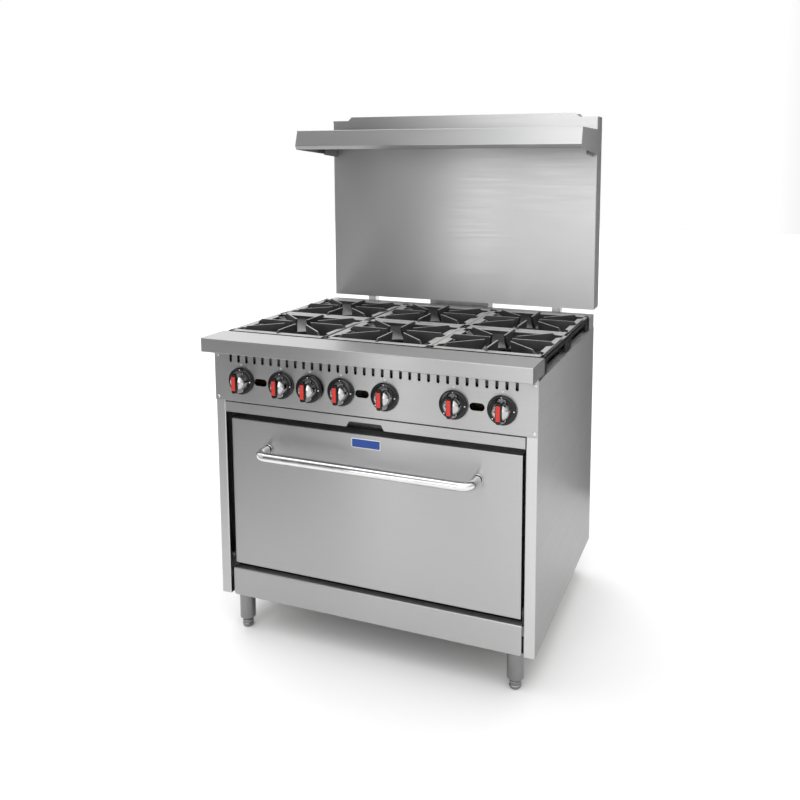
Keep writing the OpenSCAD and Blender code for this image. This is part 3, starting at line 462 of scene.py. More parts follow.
def enamel(name):
    """Black oven enamel with fine pale specks."""
    made = Surface(name, Metallic=0.0, IOR=1.6)
    specks = made.noise(900.0, 2.0)
    made.colour(made.ramp(
        specks, (0.0, grey(0.02)), (0.63, grey(0.03)), (0.68, grey(0.3)), (1.0, grey(0.35))
    ))
    made.roughness(made.between(made.noise(20.0, 5.0), 0.14, 0.26))
    made.bump((made.noise(160.0, 3.0), 0.0002, 0.25))
    return made.material


steel = brushed_steel("stainless_brushed_across", "X")
# The side panels: the brushed steel made darker as painted shade
side_steel_shaded = brushed_steel("stainless_brushed_deep_painted_shade", "Y", 0.3)
# The front stiles: the brushed steel made lighter as painted light
stile_steel_lit = brushed_steel("stainless_brushed_stile_painted_light", "Z", 0.5)
# The ledge's end cheeks: the brushed steel made almost black as painted shade
end_steel_shaded = brushed_steel("stainless_brushed_end_painted_shade", "Y", 0.05)
# A very light matte sheet as painted light, for the side panels' flanges and the backguard posts
matte_steel_lit = plain_sheet("stainless_matte_painted_light", 0.85)
# Polished steel lightened above its usual tone as painted light, for the handle and the other bright parts
bright = polished_steel("stainless_polished", 0.74)
# Polished steel darkened as painted shade, for the legs and feet
leg_steel = polished_steel("leg_steel_polished_painted_shade", 0.24, (0.1, 0.17))
smoked = polished_steel("knob_smoked_chrome", 0.5, (0.05, 0.1))
iron = cast_iron("cast_iron_black")
flank_iron_shaded = shaded_flank_iron("cast_iron_flank_painted_shade")
plastic = black_plastic("knob_black_gloss")
red = painted("knob_red_pointer", (0.42, 0.016, 0.01), (0.55, 0.026, 0.016))
# Brass darkened almost to black as painted shade, for the pilot burners behind the panel's ovals
brass_shaded = brass("brass_painted_shade", 0.03)
# Black used as painted shade, for the base frame, hinge brackets and the sheet behind the kick plate
painted_shade_black = painted("base_painted_shade_black", grey(0.012), grey(0.02), (0.5, 0.65))
white = painted("print_white", grey(0.72), grey(0.82))
badge_blue = painted("badge_blue_print", (0.006, 0.04, 0.21), (0.01, 0.055, 0.27), (0.16, 0.24))
slot_materials = {
    "stainless_brushed": steel,
    "stainless_polished": bright,
    "sheet_grey": plain_sheet("sheet_grey_galvanised"),
    "cast_iron": iron,
    "pipe_steel": pipe_steel("pipe_steel_oxide"),
    "brass": brass("brass_tarnished"),
    "glass_wool": glass_wool("glass_wool_fibres"),
    "knob_black": plastic,
    "badge_blue": badge_blue,
    "spring_steel": polished_steel("spring_steel_oiled", 0.3, (0.25, 0.4)),
    "oven_enamel": enamel("oven_enamel_speckled"),
}


def finish_frame():
    """Gives every CAD node the procedural material of its slot, or one of its own where that looks wrong,
    darker or lighter as painted shade and painted light.
    """
    # The pilot burners, oven front frame, base frame and hinge brackets are darkened as painted shade; the
    # backguard posts get the lighter sheet as painted light, and the side panels the darker steel as painted
    # shade
    special = {
        "pilot_burners": brass_shaded, "oven_front_frame": slot_materials["oven_enamel"],
        "base_frame": painted_shade_black, "door_hinge_brackets": painted_shade_black, "backguard_posts": matte_steel_lit,
        "side_panel_left": side_steel_shaded, "side_panel_right": side_steel_shaded,
    }
    for name, node in frame["nodes"].items():
        material = special.get(name, slot_materials[NODE_SLOTS[name]])
        if not node.material_slots:
            node.data.materials.append(material)
        for place in node.material_slots:
            place.material = material


# ---- Body sheets ----


def side_panel(name, sign):
    """One sheet folded round the front, as a stile, and round the back, with flanges at top and bottom."""
    lo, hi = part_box(name)
    inner, outer = (lo.x, hi.x) if sign > 0 else (hi.x, lo.x)
    flange_return = 12 * MM
    back_flange = 22 * MM * sign
    back_clearance = 3 * MM
    stile_depth = 1.5 * MM
    path = [
        (inner, lo.y + flange_return), (inner, lo.y), (outer, lo.y),
        (outer, hi.y), (outer - back_flange, hi.y),
    ]
    if sign < 0:
        path.reverse()
    bm = bmesh.new()
    add_sheet(bm, path, SHEET, 2.5 * MM, (lo.z, hi.z), along_z)
    for z in (lo.z, hi.z - SHEET):
        low_x, high_x = sorted((outer - sign * SHEET / 2, outer - back_flange))
        add_block(bm, (low_x, lo.y + flange_return, z), (high_x, hi.y - back_clearance, z + SHEET), 1)
    # Faces at the front take the lighter stile steel, as painted light
    for face in bm.faces:
        if face.calc_center_median().y < lo.y + stile_depth and face.material_index == 0:
            face.material_index = 2
    make_piece(name + "_skin", bm, [side_steel_shaded, matte_steel_lit, stile_steel_lit], name, [name])


def front_ledge():
    """A folded shelf in front of the grates, closed at each end by a cheek of steel darkened as painted
    shade.
    """
    name = "front_ledge"
    lo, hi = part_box(name)
    face_height = 38 * MM
    bottom_return = 16 * MM
    face_z = hi.z - face_height
    section = [(hi.y, lo.z), (hi.y, hi.z), (lo.y, hi.z), (lo.y, face_z), (lo.y + bottom_return, face_z)]
    cheek = rounded([(lo.y, face_z), (hi.y, face_z), (hi.y, hi.z), (lo.y, hi.z)], 2 * MM, 4, closed=True)
    bm = bmesh.new()
    add_sheet(bm, section, SHEET, 2.2 * MM, (lo.x + SHEET, hi.x - SHEET), along_x)
    for x in (lo.x, hi.x - SHEET):
        add_prism(bm, cheek, (x, x + SHEET), along_x, 1)
    make_piece("front_ledge_skin", bm, [steel, end_steel_shaded], name, [name])


def crumb_tray():
    """A pan of dull sheet behind a brushed strip, which has a notch for the fingers."""
    name = "crumb_tray"
    lo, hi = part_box(name)
    strip_x = hi.x
    strip_z = hi.z - 28 * MM
    pan_x = strip_x - 5 * MM
    pan_y = lo.y + 22.5 * MM
    pan_z = hi.z - 4 * MM
    notch_low, notch_high, notch_height = 53.5 * MM, 45.5 * MM, 15 * MM
    notch = rounded([
        (-notch_low, strip_z), (-notch_high, strip_z + notch_height),
        (notch_high, strip_z + notch_height), (notch_low, strip_z),
    ], 2 * MM, 4)
    outline = rounded([(strip_x, strip_z), (strip_x, hi.z), (-strip_x, hi.z), (-strip_x, strip_z)], 1 * MM, 2)
    bm = bmesh.new()
    add_prism(bm, outline + notch, (lo.y, lo.y + SHEET), along_y)
    add_block(bm, (-pan_x, lo.y + SHEET * 0.5, pan_z - SHEET), (pan_x, pan_y + SHEET * 0.5, pan_z))
    add_block(bm, (-pan_x, pan_y, lo.z), (pan_x, hi.y, lo.z + SHEET), 1)
    for sign in (-1, 1):
        a, b = sorted((sign * pan_x, sign * (pan_x - SHEET)))
        add_block(bm, (a, pan_y, lo.z), (b, hi.y, pan_z), 1)
    for y in (pan_y, hi.y - SHEET):
        add_block(bm, (-pan_x, y, lo.z), (pan_x, y + SHEET, pan_z - 0.1 * MM), 1)
    make_piece("crumb_tray_pan", bm, [steel, slot_materials["spring_steel"]], name, [name])


def louvre_screens():
    """Dark sheets inside the back panel, behind its louvres, as painted shade where the view through them is
    in shade.
    """
    name = "back_panel"
    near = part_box(name)[0].y - 0.2 * MM
    half_width = 70 * MM
    bottom, top = 628 * MM, 762 * MM
    bm = bmesh.new()
    for x in (-220 * MM, 220 * MM):
        add_block(bm, (x - half_width, near - SHEET, bottom), (x + half_width, near, top))
    make_piece("louvre_shade_sheets", bm, [slot_materials["oven_enamel"]], name, bevel=0.1 * MM)


def base_screen():
    """A dark folded sheet that closes the base behind the kick plate, as painted shade where the base is in
    shade.
    """
    name = "base_frame"
    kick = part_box("kick_plate")[1]
    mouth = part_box("oven_front_frame")[0].y
    half_width = kick.x - 1 * MM
    level = kick.z - 2 * MM
    wall = mouth - 2.2 * MM
    wall_bottom = 152 * MM
    bm = bmesh.new()
    add_block(bm, (-half_width, kick.y + 1 * MM, level - SHEET), (half_width, mouth - 1 * MM, level))
    add_block(bm, (-half_width, wall - SHEET, wall_bottom), (half_width, wall, level - SHEET - 0.1 * MM))
    make_piece("base_shade_sheet", bm, [painted_shade_black], name, bevel=0.1 * MM)


def door_panel():
    """A shallow pan: a face with soft bends on all four sides and open at the back."""
    name = "door_panel"
    lo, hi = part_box(name)
    bm = bmesh.new()
    front = [bm.verts.new((x, lo.y, z)) for x, z in ((lo.x, lo.z), (hi.x, lo.z), (hi.x, hi.z), (lo.x, hi.z))]
    back = [bm.verts.new((v.co.x, hi.y, v.co.z)) for v in front]
    bm.faces.new(front)
    for i in range(4):
        j = (i + 1) % 4
        bm.faces.new((front[j], front[i], back[i], back[j]))
    bend = ("BEVEL", {
        "width": 2.6 * MM, "segments": 5, "limit_method": "ANGLE", "angle_limit": math.radians(40),
    })
    wall = ("SOLIDIFY", {"thickness": SHEET, "offset": -1.0, "use_even_offset": True})
    make_piece("door_panel_skin", bm, [steel], name, [name], bevel=0.25 * MM, extra=(bend, wall))


def door_handle():
    """A bar of bright tube bent back to the door at both ends, with a weld bead round each."""
    name = "door_handle"
    lo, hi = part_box(name)
    door_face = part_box("door_panel")[0].y
    radius = (hi.z - lo.z) / 2
    z = (lo.z + hi.z) / 2
    y = lo.y + radius
    bend = 28 * MM
    foot_x = hi.x - radius
    right = [Vector((foot_x, door_face, z)), Vector((foot_x, (door_face + y + bend) / 2, z))]
    bend_steps = 12
    for k in range(bend_steps + 1):
        angle = math.radians(90 * k / bend_steps)
        right.append(Vector((foot_x - bend + bend * math.cos(angle), y + bend - bend * math.sin(angle), z)))
    left = [Vector((-p.x, p.y, p.z)) for p in reversed(right)]
    bm = bmesh.new()
    add_tube(bm, right + [Vector((0, y, z))] + left, radius, 36)
    weld = [
        (radius, 0), (radius + 1.6 * MM, 0), (radius + 1.3 * MM, 0.9 * MM), (radius - 0.2 * MM, 1.9 * MM),
    ]
    for x in (-foot_x, foot_x):
        add_lathe(bm, weld, lambda u, v, h: Vector((x + u, door_face - h, z + v)), 36, closed=True)
    make_piece("door_handle_tube", bm, [bright], name, [name], bevel=0)


def door_badge():
    """A plain blue plate with a pale border and no lettering."""
    name = "door_badge"
    lo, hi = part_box(name)
    border = 1.6 * MM
    bm = bmesh.new()
    for margin, front, material in ((0, lo.y + 0.3 * MM, 0), (border, lo.y, 1)):
        outline = rounded([
            (lo.x + margin, lo.z + margin), (hi.x - margin, lo.z + margin),
            (hi.x - margin, hi.z - margin), (lo.x + margin, hi.z - margin),
        ], 2.4 * MM - margin * 0.6, 6, closed=True)
        add_prism(bm, outline, (front, hi.y), along_y, material)
    make_piece("door_badge_plate", bm, [white, badge_blue], name, [name], bevel=0.15 * MM)


# ---- Legs and feet ----


def leg_places():
    """The middle of each leg, over its foot."""
    places = []
    for i in (1, 2, 3, 4):
        lo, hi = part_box(f"foot_{i}")
        places.append(((lo.x + hi.x) / 2, (lo.y + hi.y) / 2))
    return places


def leg_tubes():
    """Four round tubes, each with a shoulder at its lower end where the foot screws in."""
    name = "leg_tubes"
    lo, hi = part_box(name)
    foot_lo, foot_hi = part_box("foot_1")
    radius = abs(lo.x - leg_places()[0][0])
    nose = (foot_hi.x - foot_lo.x) / 2 + 0.5 * MM
    bore = 10.1 * MM
    inside = radius - 2 * MM
    shoulder = 7.5 * MM
    outer = [(bore, lo.z), (nose - 1 * MM, lo.z), (nose, lo.z + 1 * MM)]
    outer += [tuple(p) for p in corner(
        Vector((nose, lo.z + 1 * MM)), Vector((radius, lo.z + shoulder)), Vector((radius, hi.z)), 2 * MM, 5
    )]
    outer += [(radius, lo.z + 60 * MM), (radius, hi.z), (inside, hi.z), (inside, lo.z + shoulder)]
    outer += [(bore, lo.z + shoulder)]
    bm = bmesh.new()
    for x, y in leg_places():
        add_lathe(bm, outer, lambda u, v, h: Vector((x + u, y + v, h)), 48, closed=True)
    make_piece("leg_tubes_polished", bm, [leg_steel], name, [name], bevel=0.2 * MM)


def foot(i):
    """A screw foot: a rounded shoe with a groove round it, under the plain stem of its thread."""
    name = f"foot_{i}"
    lo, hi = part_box(name)
    x = (lo.x + hi.x) / 2
    y = (lo.y + hi.y) / 2
    radius = (hi.x - lo.x) / 2
    stem = 10 * MM
    sole = 7 * MM
    sole_steps = 7
    groove = radius - 1.5 * MM
    shoe = []
    for k in range(sole_steps + 1):
        angle = math.radians(90 * k / sole_steps)
        shoe.append((radius - sole + sole * math.sin(angle), lo.z + sole - sole * math.cos(angle)))
    shoe += [
        (radius, lo.z + 10 * MM), (groove, lo.z + 11.2 * MM), (groove, lo.z + 12.4 * MM),
        (radius, lo.z + 13.6 * MM), (radius, lo.z + 21 * MM), (radius - 1 * MM, lo.z + 22 * MM),
        (stem, lo.z + 22 * MM), (stem, hi.z - 1 * MM), (stem - 1 * MM, hi.z),
    ]
    bm = bmesh.new()
    add_lathe(bm, shoe, lambda u, v, h: Vector((x + u, y + v, h)), 40)
    make_piece(name + "_shoe", bm, [leg_steel], name, [name], bevel=0.2 * MM)


# ---- Cooktop ----


def finger(bm, centre, angle, start, end, top, rim_z, mouth):
    """A tapering web that points from the rim to the burner."""
    mouth_r, mouth_z = mouth
    outline = [
        (start, top), (end - 11 * MM, top), (end - 2 * MM, rim_z + 1 * MM), (end, rim_z - 2 * MM),
        (end, rim_z - 9 * MM), (mouth_r + 2 * MM, mouth_z - 2 * MM), (start + 6 * MM, top - 15 * MM),
    ]
    along = Vector((math.cos(angle), math.sin(angle), 0))
    across = Vector((-math.sin(angle), math.cos(angle), 0))

    def place(u, v, side):
        half = 2.5 * MM + (top - v) * 0.05
        return centre + along * u + across * half * side + Vector((0, 0, v))

    add_prism(bm, outline, (-1, 1), place)


def grate_bowl(bm, centre, ix, iy, high, mouth, wall=4.5 * MM, steps=64, levels=6):
    """A spill bowl that turns from the square rim into a round mouth."""
    mouth_r, mouth_z = mouth
    rings = []
    for level in range(levels + 1):
        share = level / levels
        ring = []
        for k in range(steps):
            angle = math.tau * k / steps
            c, s = math.cos(angle), math.sin(angle)
            edge = min(ix / max(abs(c), 1e-6), iy / max(abs(s), 1e-6))
            r = edge + (mouth_r - edge) * share
            z = high + (mouth_z - high) * (1 - (1 - share) ** 1.25)
            ring.append(Vector((r * c, r * s, z)))
        rings.append(ring)
    lip = [Vector((p.x, p.y, mouth_z - 6 * MM)) for p in rings[-1]]
    under = []
    for ring in rings + [lip]:
        under.append([centre + Vector((p.x * 1.03, p.y * 1.03, p.z - wall)) for p in ring])
    under[-1] = [centre + Vector((p.x * 1.07, p.y * 1.07, p.z)) for p in lip]
    over = [[centre + p for p in ring] for ring in rings + [lip]]
    add_loft(bm, over + under[::-1] + [over[0]], caps=False)


def grate(i):
    """A cast grate: flat rim with pads, bowl, arched skirts and eight fingers."""
    name = f"grate_{i}"
    lo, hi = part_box(name)
    centre = Vector(((lo.x + hi.x) / 2, (lo.y + hi.y) / 2, 0))
    gx = (hi.x - lo.x) / 2
    gy = (hi.y - lo.y) / 2
    top = hi.z
    rim_z = top - 8 * MM
    rim = 24 * MM
    bar = 7 * MM
    side_bar = 11 * MM
    wall = 4.5 * MM
    wall_bottom = rim_z - 20 * MM
    skirt = 5 * MM
    skirt_top = rim_z - 5 * MM
    ix = gx - rim
    iy = gy - rim
    mouth = (58 * MM, top - 41 * MM)
    x0, y0 = centre.x, centre.y
    bm = bmesh.new()
    # Flat rim: broad front and back bars, narrow side bars with two pads each
    for sign in (-1, 1):
        outer, inner = sorted((sign * gy, sign * iy))
        add_block(bm, (x0 - gx, y0 + outer, rim_z - bar), (x0 + gx, y0 + inner, rim_z))
        outer, inner = sorted((sign * gx, sign * (gx - side_bar)))
        add_block(bm, (x0 + outer, y0 - gy, rim_z - bar), (x0 + inner, y0 + gy, rim_z))
        root_x = x0 + sign * (gx - 9 * MM)
        tip_x = x0 + sign * ix
        for end in (-1, 1):
            pad = [
                (root_x, y0 + end * 11 * MM), (root_x, y0 + end * 97 * MM),
                (tip_x, y0 + end * 84 * MM), (tip_x, y0 + end * 24 * MM),
            ]
            add_prism(bm, pad, (rim_z - 6.5 * MM, rim_z - 0.1 * MM), along_z)
    # Wall and shelf under the rim's inner edge
    for sign in (-1, 1):
        a, b = sorted((sign * ix, sign * (ix + wall)))
        add_block(bm, (x0 + a, y0 - iy - wall, wall_bottom), (x0 + b, y0 + iy + wall, rim_z - 6 * MM))
        a, b = sorted((sign * iy, sign * (iy + wall)))
        add_block(bm, (x0 - ix - wall, y0 + a, wall_bottom), (x0 + ix + wall, y0 + b, rim_z - 6 * MM))
        a, b = sorted((sign * (ix + 3 * MM), sign * (gx - 3 * MM)))
        add_block(bm, (x0 + a, y0 - iy, rim_z - 13 * MM), (x0 + b, y0 + iy, rim_z - 7.5 * MM))
    grate_bowl(bm, centre, ix + 1 * MM, iy + 1 * MM, rim_z - 8 * MM, mouth)
    # Arched skirts on the sides and plain walls at the ends
    arch_z = lo.z + 30 * MM
    arch = rounded([
        (y0 - gy, lo.z), (y0 - gy + 26 * MM, lo.z), (y0 - gy + 38 * MM, arch_z),
        (y0 + gy - 38 * MM, arch_z), (y0 + gy - 26 * MM, lo.z), (y0 + gy, lo.z),
        (y0 + gy, skirt_top), (y0 - gy, skirt_top),
    ], 3 * MM, 3, closed=True)
    for sign in (-1, 1):
        a, b = sorted((sign * gx, sign * (gx - skirt)))
        add_prism(bm, arch, (x0 + a, x0 + b), along_x)
        a, b = sorted((sign * gy, sign * (gy - skirt)))
        add_block(bm, (x0 - gx, y0 + a, rim_z - 22 * MM), (x0 + gx, y0 + b, skirt_top))
    # Eight fingers: four straight ones and four towards the corners
    diagonal = math.atan2(iy, ix)
    corner_end = math.hypot(ix, iy) - 8 * MM
    fingers = [(angle, 30 * MM, gx - 7 * MM) for angle in (0, math.pi)]
    fingers += [(angle, 30 * MM, gy - 8 * MM) for angle in (math.pi / 2, -math.pi / 2)]
    for angle in (diagonal, math.pi - diagonal, math.pi + diagonal, -diagonal):
        fingers.append((angle, 48 * MM, corner_end))
    for angle, start, end in fingers:
        finger(bm, centre, angle, start, end, top, rim_z, mouth)
    # The flanks take the darker iron, as painted shade
    flank = gx - 6 * MM
    bm.normal_update()
    for face in bm.faces:
        if abs(face.normal.x) > 0.9 and abs(face.calc_center_median().x - x0) > flank:
            face.material_index = 1
    make_piece(name + "_casting", bm, [iron, flank_iron_shaded], name, [name], bevel=0.9 * MM, steps=2)


def burner_heads():
    """Cast burner caps with radial flame ports round a stepped edge."""
    name = "burner_heads"
    lo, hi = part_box(name)
    first_lo, first_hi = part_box("grate_1")
    last_lo, last_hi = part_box("grate_6")
    columns = [(first_lo.x + first_hi.x) / 2, 0, (last_lo.x + last_hi.x) / 2]
    rows = [(first_lo.y + first_hi.y) / 2, (last_lo.y + last_hi.y) / 2]
    radius = hi.x - columns[2]
    height = hi.z - lo.z
    ports = 36
    steps = ports * 4
    port_depth = 2.6 * MM
    profile = [
        (radius - 1.5 * MM, 0), (radius, 1.5 * MM), (radius, 3 * MM), (radius, 7.5 * MM),
        (radius - 0.5 * MM, 9 * MM), (radius * 0.9, height * 0.56), (radius * 0.74, height * 0.78),
        (radius * 0.62, height * 0.8), (radius * 0.55, height * 0.93), (radius * 0.3, height),
    ]
    bm = bmesh.new()
    for x in columns:
        for y in rows:
            rings = []
            for edge, h in profile:
                ring = []
                for k in range(steps):
                    angle = math.tau * k / steps
                    in_port = k % 4 in (0, 1) and 2.5 * MM < h < 8 * MM
                    r = edge - (port_depth if in_port else 0.0)
                    ring.append(Vector((x + r * math.cos(angle), y + r * math.sin(angle), lo.z + h)))
                rings.append(ring)
            add_loft(bm, rings)
    make_piece("burner_heads_cast", bm, [iron], name, [name], bevel=0)


# ---- Knobs ----


def knob(i):
    """A black skirt with setting dots, a smoked dome and a grip across it with a red pointer strip."""
    name = f"knob_{i}"
    lo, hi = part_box(name)
    x = (lo.x + hi.x) / 2
    z = (lo.z + hi.z) / 2
    radius = (hi.x - lo.x) / 2
    depth = 39 * MM
    base = lo.y + depth

    def place(u, v, h):
        return Vector((x + u, base - h, z + v))

    stem = 4 * MM
    rim_height = 4.6 * MM
    roll = 3.4 * MM
    roll_steps = 7
    skirt = [(stem, 0), (radius - 0.8 * MM, 0), (radius, 0.8 * MM), (radius, rim_height)]
    for k in range(1, roll_steps + 1):
        angle = math.radians(90 * k / roll_steps)
        skirt.append((radius - roll * (1 - math.cos(angle)), rim_height + roll * math.sin(angle)))
    skirt += [(radius - 9 * MM, 8.6 * MM), (radius - 10 * MM, 8.2 * MM), (radius - 12 * MM, 8.4 * MM)]
    skirt += [(6 * MM, 9 * MM)]
    dome = [
        (25.5 * MM, 8 * MM), (25 * MM, 9.6 * MM), (23.8 * MM, 12 * MM), (22.6 * MM, 17 * MM),
        (20.8 * MM, 22 * MM), (17.5 * MM, 26 * MM), (12 * MM, 28.6 * MM), (5 * MM, 29.6 * MM),
    ]
    # Sections of the grip in millimetres: height, half width, half length
    levels = [
        (8.6, 16, 31.5), (11, 13, 31), (15, 10.8, 30.2), (22, 9.2, 29), (30, 8.2, 27.6), (36, 7.6, 26.4),
        (37.6, 7.0, 25.8), (38.2, 5.9, 24.8),
    ]
    smoked_levels = 5
    points = 56
    rings = []
    for h, half_u, half_v in levels:
        ring = []
        for k in range(points):
            angle = math.tau * k / points
            c, s = math.cos(angle), math.sin(angle)
            u = half_u * MM * math.copysign(abs(c) ** 0.5, c)
            v = half_v * MM * math.copysign(abs(s) ** 0.62, s)
            ring.append(place(u, v, h * MM))
        rings.append(ring)
    bm = bmesh.new()
    add_lathe(bm, skirt, place, 72)
    add_lathe(bm, dome, place, 64, material=1)
    add_loft(bm, rings[:smoked_levels], material=1)
    add_loft(bm, rings[smoked_levels - 1:])
    add_lathe(bm, [(stem, 0), (stem, base - hi.y)], place, 24, material=2)
    # Setting dots on the skirt
    dot_circle = radius - 5.6 * MM
    dot = [
        (0.4 * MM, 7.9 * MM), (1.7 * MM, 7.9 * MM), (1.7 * MM, 8.35 * MM), (1.3 * MM, 8.5 * MM),
        (0.2 * MM, 8.5 * MM),
    ]
    for degrees in (90, 0, 225):
        du = dot_circle * math.cos(math.radians(degrees))
        dv = dot_circle * math.sin(math.radians(degrees))
        add_lathe(bm, dot, lambda u, v, h: place(du + u, dv + v, h), 16, material=3)
    make_piece(name + "_moulding", bm, [plastic, smoked, bright, white], name, [name], bevel=0)
    # Red pointer strip let into the grip
    strip = rounded([(-5.4, -18.4), (5.4, -18.4), (5.4, 20), (-5.4, 20)], 1.6, 4, closed=True)
    bm = bmesh.new()
    add_prism(bm, [(p.x * MM, p.y * MM) for p in strip], (36.4 * MM, 38.9 * MM), place)
    make_piece(name + "_pointer", bm, [red], name, bevel=0.5 * MM)


def panel_marks():
    """A small printed pointer on the panel above each knob."""
    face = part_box("control_panel")[0].y
    bm = bmesh.new()
    for i in range(1, 8):
        lo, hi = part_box(f"knob_{i}")
        x = (lo.x + hi.x) / 2
        z = hi.z + 4.2 * MM
        outline = [(x - 3.4 * MM, z + 5 * MM), (x, z), (x + 3.4 * MM, z + 5 * MM), (x, z + 3.7 * MM)]
        add_prism(bm, outline, (face - 0.12 * MM, face + 0.2 * MM), along_y)
    make_piece("panel_marks_print", bm, [white], "control_panel", bevel=0)


# ---- Stage ----

# The studio's brightness round the compass, as (degrees, level): 0 is in front of the range, 90 to its right
LOW_SKY = [
    (-180, 1.0), (-125, 1.0), (-80, 0.4), (-46, 0.8), (-37, 0.5), (-33, 0.05), (-27.5, 0.08), (-25, 0.25),
    (-23, 0.7), (-20.5, 1.4), (-18, 2.3), (-15, 3.2), (-12, 3.8), (-5, 3.4), (20, 1.5), (60, 0.7),
    (120, 0.4), (150, 0.4), (164, 0.3), (167, 0.16), (169, 0.04), (176, 0.05), (177.3, 1.0), (180, 1.0),
]
HIGH_SKY = [
    (-180, 0.5), (-168, 0.55), (-160, 0.8), (-151, 1.2), (-143, 1.9), (-120, 1.9), (-80, 1.0), (-46, 0.7),
    (-37, 0.4), (-33, 0.05), (-27.5, 0.15), (-24, 0.5), (-20.5, 1.2), (-17, 2.2), (-12, 3.0), (0, 2.6),
    (30, 1.4), (90, 0.8), (145, 0.4), (160, 0.3), (168, 0.1), (174, 0.1), (180, 0.5),
]
OVERHEAD = 2.2
# Vertical parts of a direction: from the low sky to the high one, and from that to the ceiling
SKY_CHANGE = (0.2, 0.34)
CEILING_CHANGE = (0.66, 0.86)


def make_camera():
    """Stands in front to the right and looks down a little, with a shifted lens."""
    data = bpy.data.cameras.new("camera")
    data.lens = 37.1
    data.sensor_width = 36.0
    data.shift_x = -0.048
    data.shift_y = -0.174
    camera = bpy.data.objects.new("camera", data)
    camera.location = (0.912, -2.2085, 1.3235)
    camera.rotation_euler = (math.radians(83.1), 0, math.radians(21.0))
    bpy.context.scene.collection.objects.link(camera)
    bpy.context.scene.camera = camera


def softbox(name, place, target, size, power):
    """A rectangular light that faces its target."""
    data = bpy.data.lights.new(name, "AREA")
    data.shape = "RECTANGLE"
    data.size, data.size_y = size
    data.energy = power
    light = bpy.data.objects.new(name, data)
    light.location = place
    light.rotation_euler = (Vector(target) - Vector(place)).to_track_quat("-Z", "Y").to_euler()
    light.visible_camera = False
    bpy.context.scene.collection.objects.link(light)


def sky_by_azimuth(tree, share, stops):
    """A colour ramp round the compass, from a share of the full turn."""
    ramp = tree.nodes.new("ShaderNodeValToRGB")
    elements = ramp.color_ramp.elements
    while len(elements) < len(stops):
        elements.new(0.5)
    for element, (degrees, level) in zip(elements, stops):
        element.position = (degrees + 180) / 360
        element.color = (level, level, level, 1)
    tree.links.new(share, ramp.inputs["Fac"])
    return ramp.outputs["Color"]


def share_between(tree, value, low, high):
    """Goes from 0 to 1 while value goes from low to high."""
    node = tree.nodes.new("ShaderNodeMapRange")
    node.inputs["From Min"].default_value = low
    node.inputs["From Max"].default_value = high
    tree.links.new(value, node.inputs["Value"])
    return node.outputs["Result"]


def mix_by(tree, factor):
    """A colour mix whose factor is a node's output."""
    node = tree.nodes.new("ShaderNodeMix")
    node.data_type = "RGBA"
    tree.links.new(factor, node.inputs["Factor"])
    return node


def make_world():
    """A studio with a low and a high band that vary round the compass, and an even ceiling."""
    world = bpy.data.worlds.new("studio")
    bpy.context.scene.world = world
    world.use_nodes = True
    tree = world.node_tree
    background = tree.nodes["Background"]
    parts = tree.nodes.new("ShaderNodeSeparateXYZ")
    tree.links.new(tree.nodes.new("ShaderNodeTexCoord").outputs["Generated"], parts.inputs["Vector"])
    forward = tree.nodes.new("ShaderNodeMath")
    forward.operation = "MULTIPLY"
    forward.inputs[1].default_value = -1.0
    tree.links.new(parts.outputs["Y"], forward.inputs[0])
    turn = tree.nodes.new("ShaderNodeMath")
    turn.operation = "ARCTAN2"
    tree.links.new(parts.outputs["X"], turn.inputs[0])
    tree.links.new(forward.outputs["Value"], turn.inputs[1])
    compass = share_between(tree, turn.outputs["Value"], -math.pi, math.pi)
    sky = mix_by(tree, share_between(tree, parts.outputs["Z"], *SKY_CHANGE))
    for socket, stops in ((MIX_A, LOW_SKY), (MIX_B, HIGH_SKY)):
        tree.links.new(sky_by_azimuth(tree, compass, stops), sky.inputs[socket])
    whole = mix_by(tree, share_between(tree, parts.outputs["Z"], *CEILING_CHANGE))
    whole.inputs[MIX_B].default_value = (OVERHEAD, OVERHEAD, OVERHEAD, 1)
    tree.links.new(sky.outputs[MIX_RESULT], whole.inputs[MIX_A])
    tree.links.new(whole.outputs[MIX_RESULT], background.inputs["Color"])
    background.inputs["Strength"].default_value = 1.0


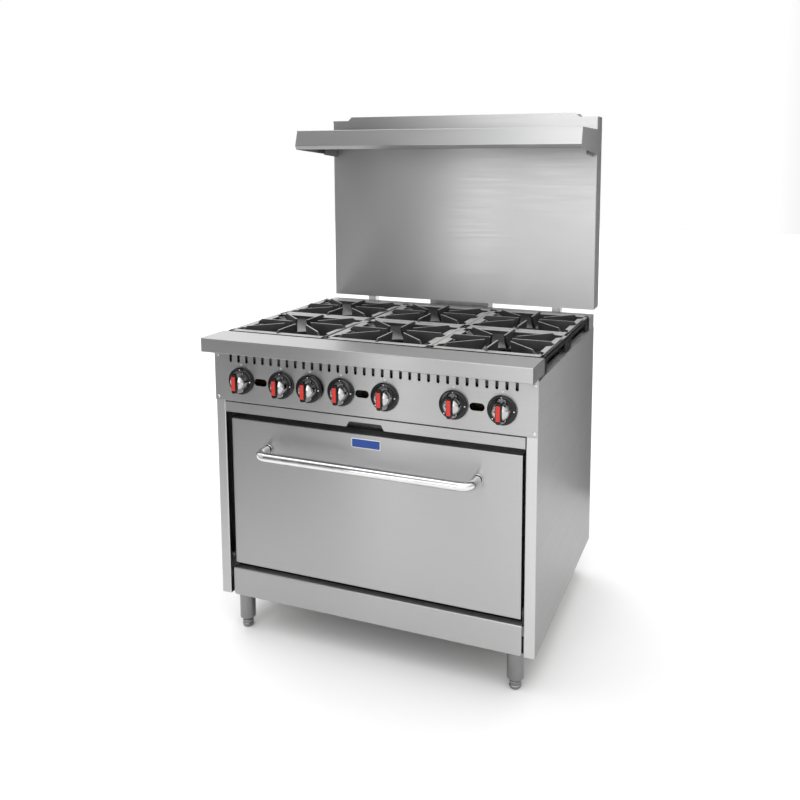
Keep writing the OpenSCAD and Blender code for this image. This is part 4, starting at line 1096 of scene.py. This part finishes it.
def paper_floor():
    """Pale paper that falls off to grey far out in front to the left."""
    paper = Surface("floor_paper", Roughness=0.9)
    tone = paper.noise(2.5, 3.0)
    pale = paper.ramp(tone, (0.3, grey(0.82)), (0.7, grey(0.83)))
    grey_end = paper.ramp(tone, (0.3, grey(0.16)), (0.7, grey(0.17)))
    distance = paper.tree.nodes.new("ShaderNodeVectorMath")
    distance.operation = "DISTANCE"
    distance.inputs[1].default_value = (-3.0, -3.6, 0)
    paper.join(paper.place, distance.inputs[0])
    paper.colour(paper.blend(grey_end, pale, paper.between(distance.outputs["Value"], 0.0, 1.0, 2.0, 3.4)))
    return paper.material


def stage_object(name, bm, material):
    """Puts a bmesh in the scene as a piece of the stage."""
    mesh = bpy.data.meshes.new(name)
    bm.to_mesh(mesh)
    bm.free()
    mesh.materials.append(material)
    stage_piece = bpy.data.objects.new(name, mesh)
    bpy.context.scene.collection.objects.link(stage_piece)
    return stage_piece


def side_backdrop():
    """A grey card behind the range to its right, which only shows in reflections."""
    card = Surface("backdrop_grey", Roughness=1.0)
    across = card.tree.nodes.new("ShaderNodeSeparateXYZ")
    card.join(card.place, across.inputs["Vector"])
    dark = card.ramp(card.noise(3.0), (0.3, grey(0.17)), (0.7, grey(0.2)))
    light = card.ramp(card.noise(2.0), (0.3, grey(0.72)), (0.7, grey(0.76)))
    card.colour(card.blend(dark, light, card.between(across.outputs["X"], 0.0, 1.0, 0.56, 0.86)))
    left, right, distance, height = 0.5, 1.9, 0.95, 1.7
    corners = ((left, 0.0), (right, 0.0), (right, height), (left, height))
    bm = bmesh.new()
    bm.faces.new([bm.verts.new((x, distance, z)) for x, z in corners])
    backdrop = stage_object("side_backdrop", bm, card.material)
    backdrop.visible_camera = False
    backdrop.visible_shadow = False
    backdrop.visible_diffuse = False


def make_stage():
    """Floor, light, backdrop and world."""
    bm = bmesh.new()
    bmesh.ops.create_grid(bm, x_segments=8, y_segments=8, size=14)
    stage_object("floor", bm, paper_floor())
    softbox("strip", (-1.1, -3.1, 0.6), (0.1, -0.35, 0.5), (0.26, 1.2), 3.2)
    side_backdrop()
    make_world()
    bpy.context.scene.view_settings.view_transform = "Standard"


make_camera()
make_stage()
finish_frame()
side_panel("side_panel_left", -1)
side_panel("side_panel_right", 1)
front_ledge()
crumb_tray()
louvre_screens()
base_screen()
door_panel()
door_handle()
door_badge()
leg_tubes()
burner_heads()
panel_marks()
for number in range(1, 5):
    foot(number)
for number in range(1, 7):
    grate(number)
for number in range(1, 8):
    knob(number)
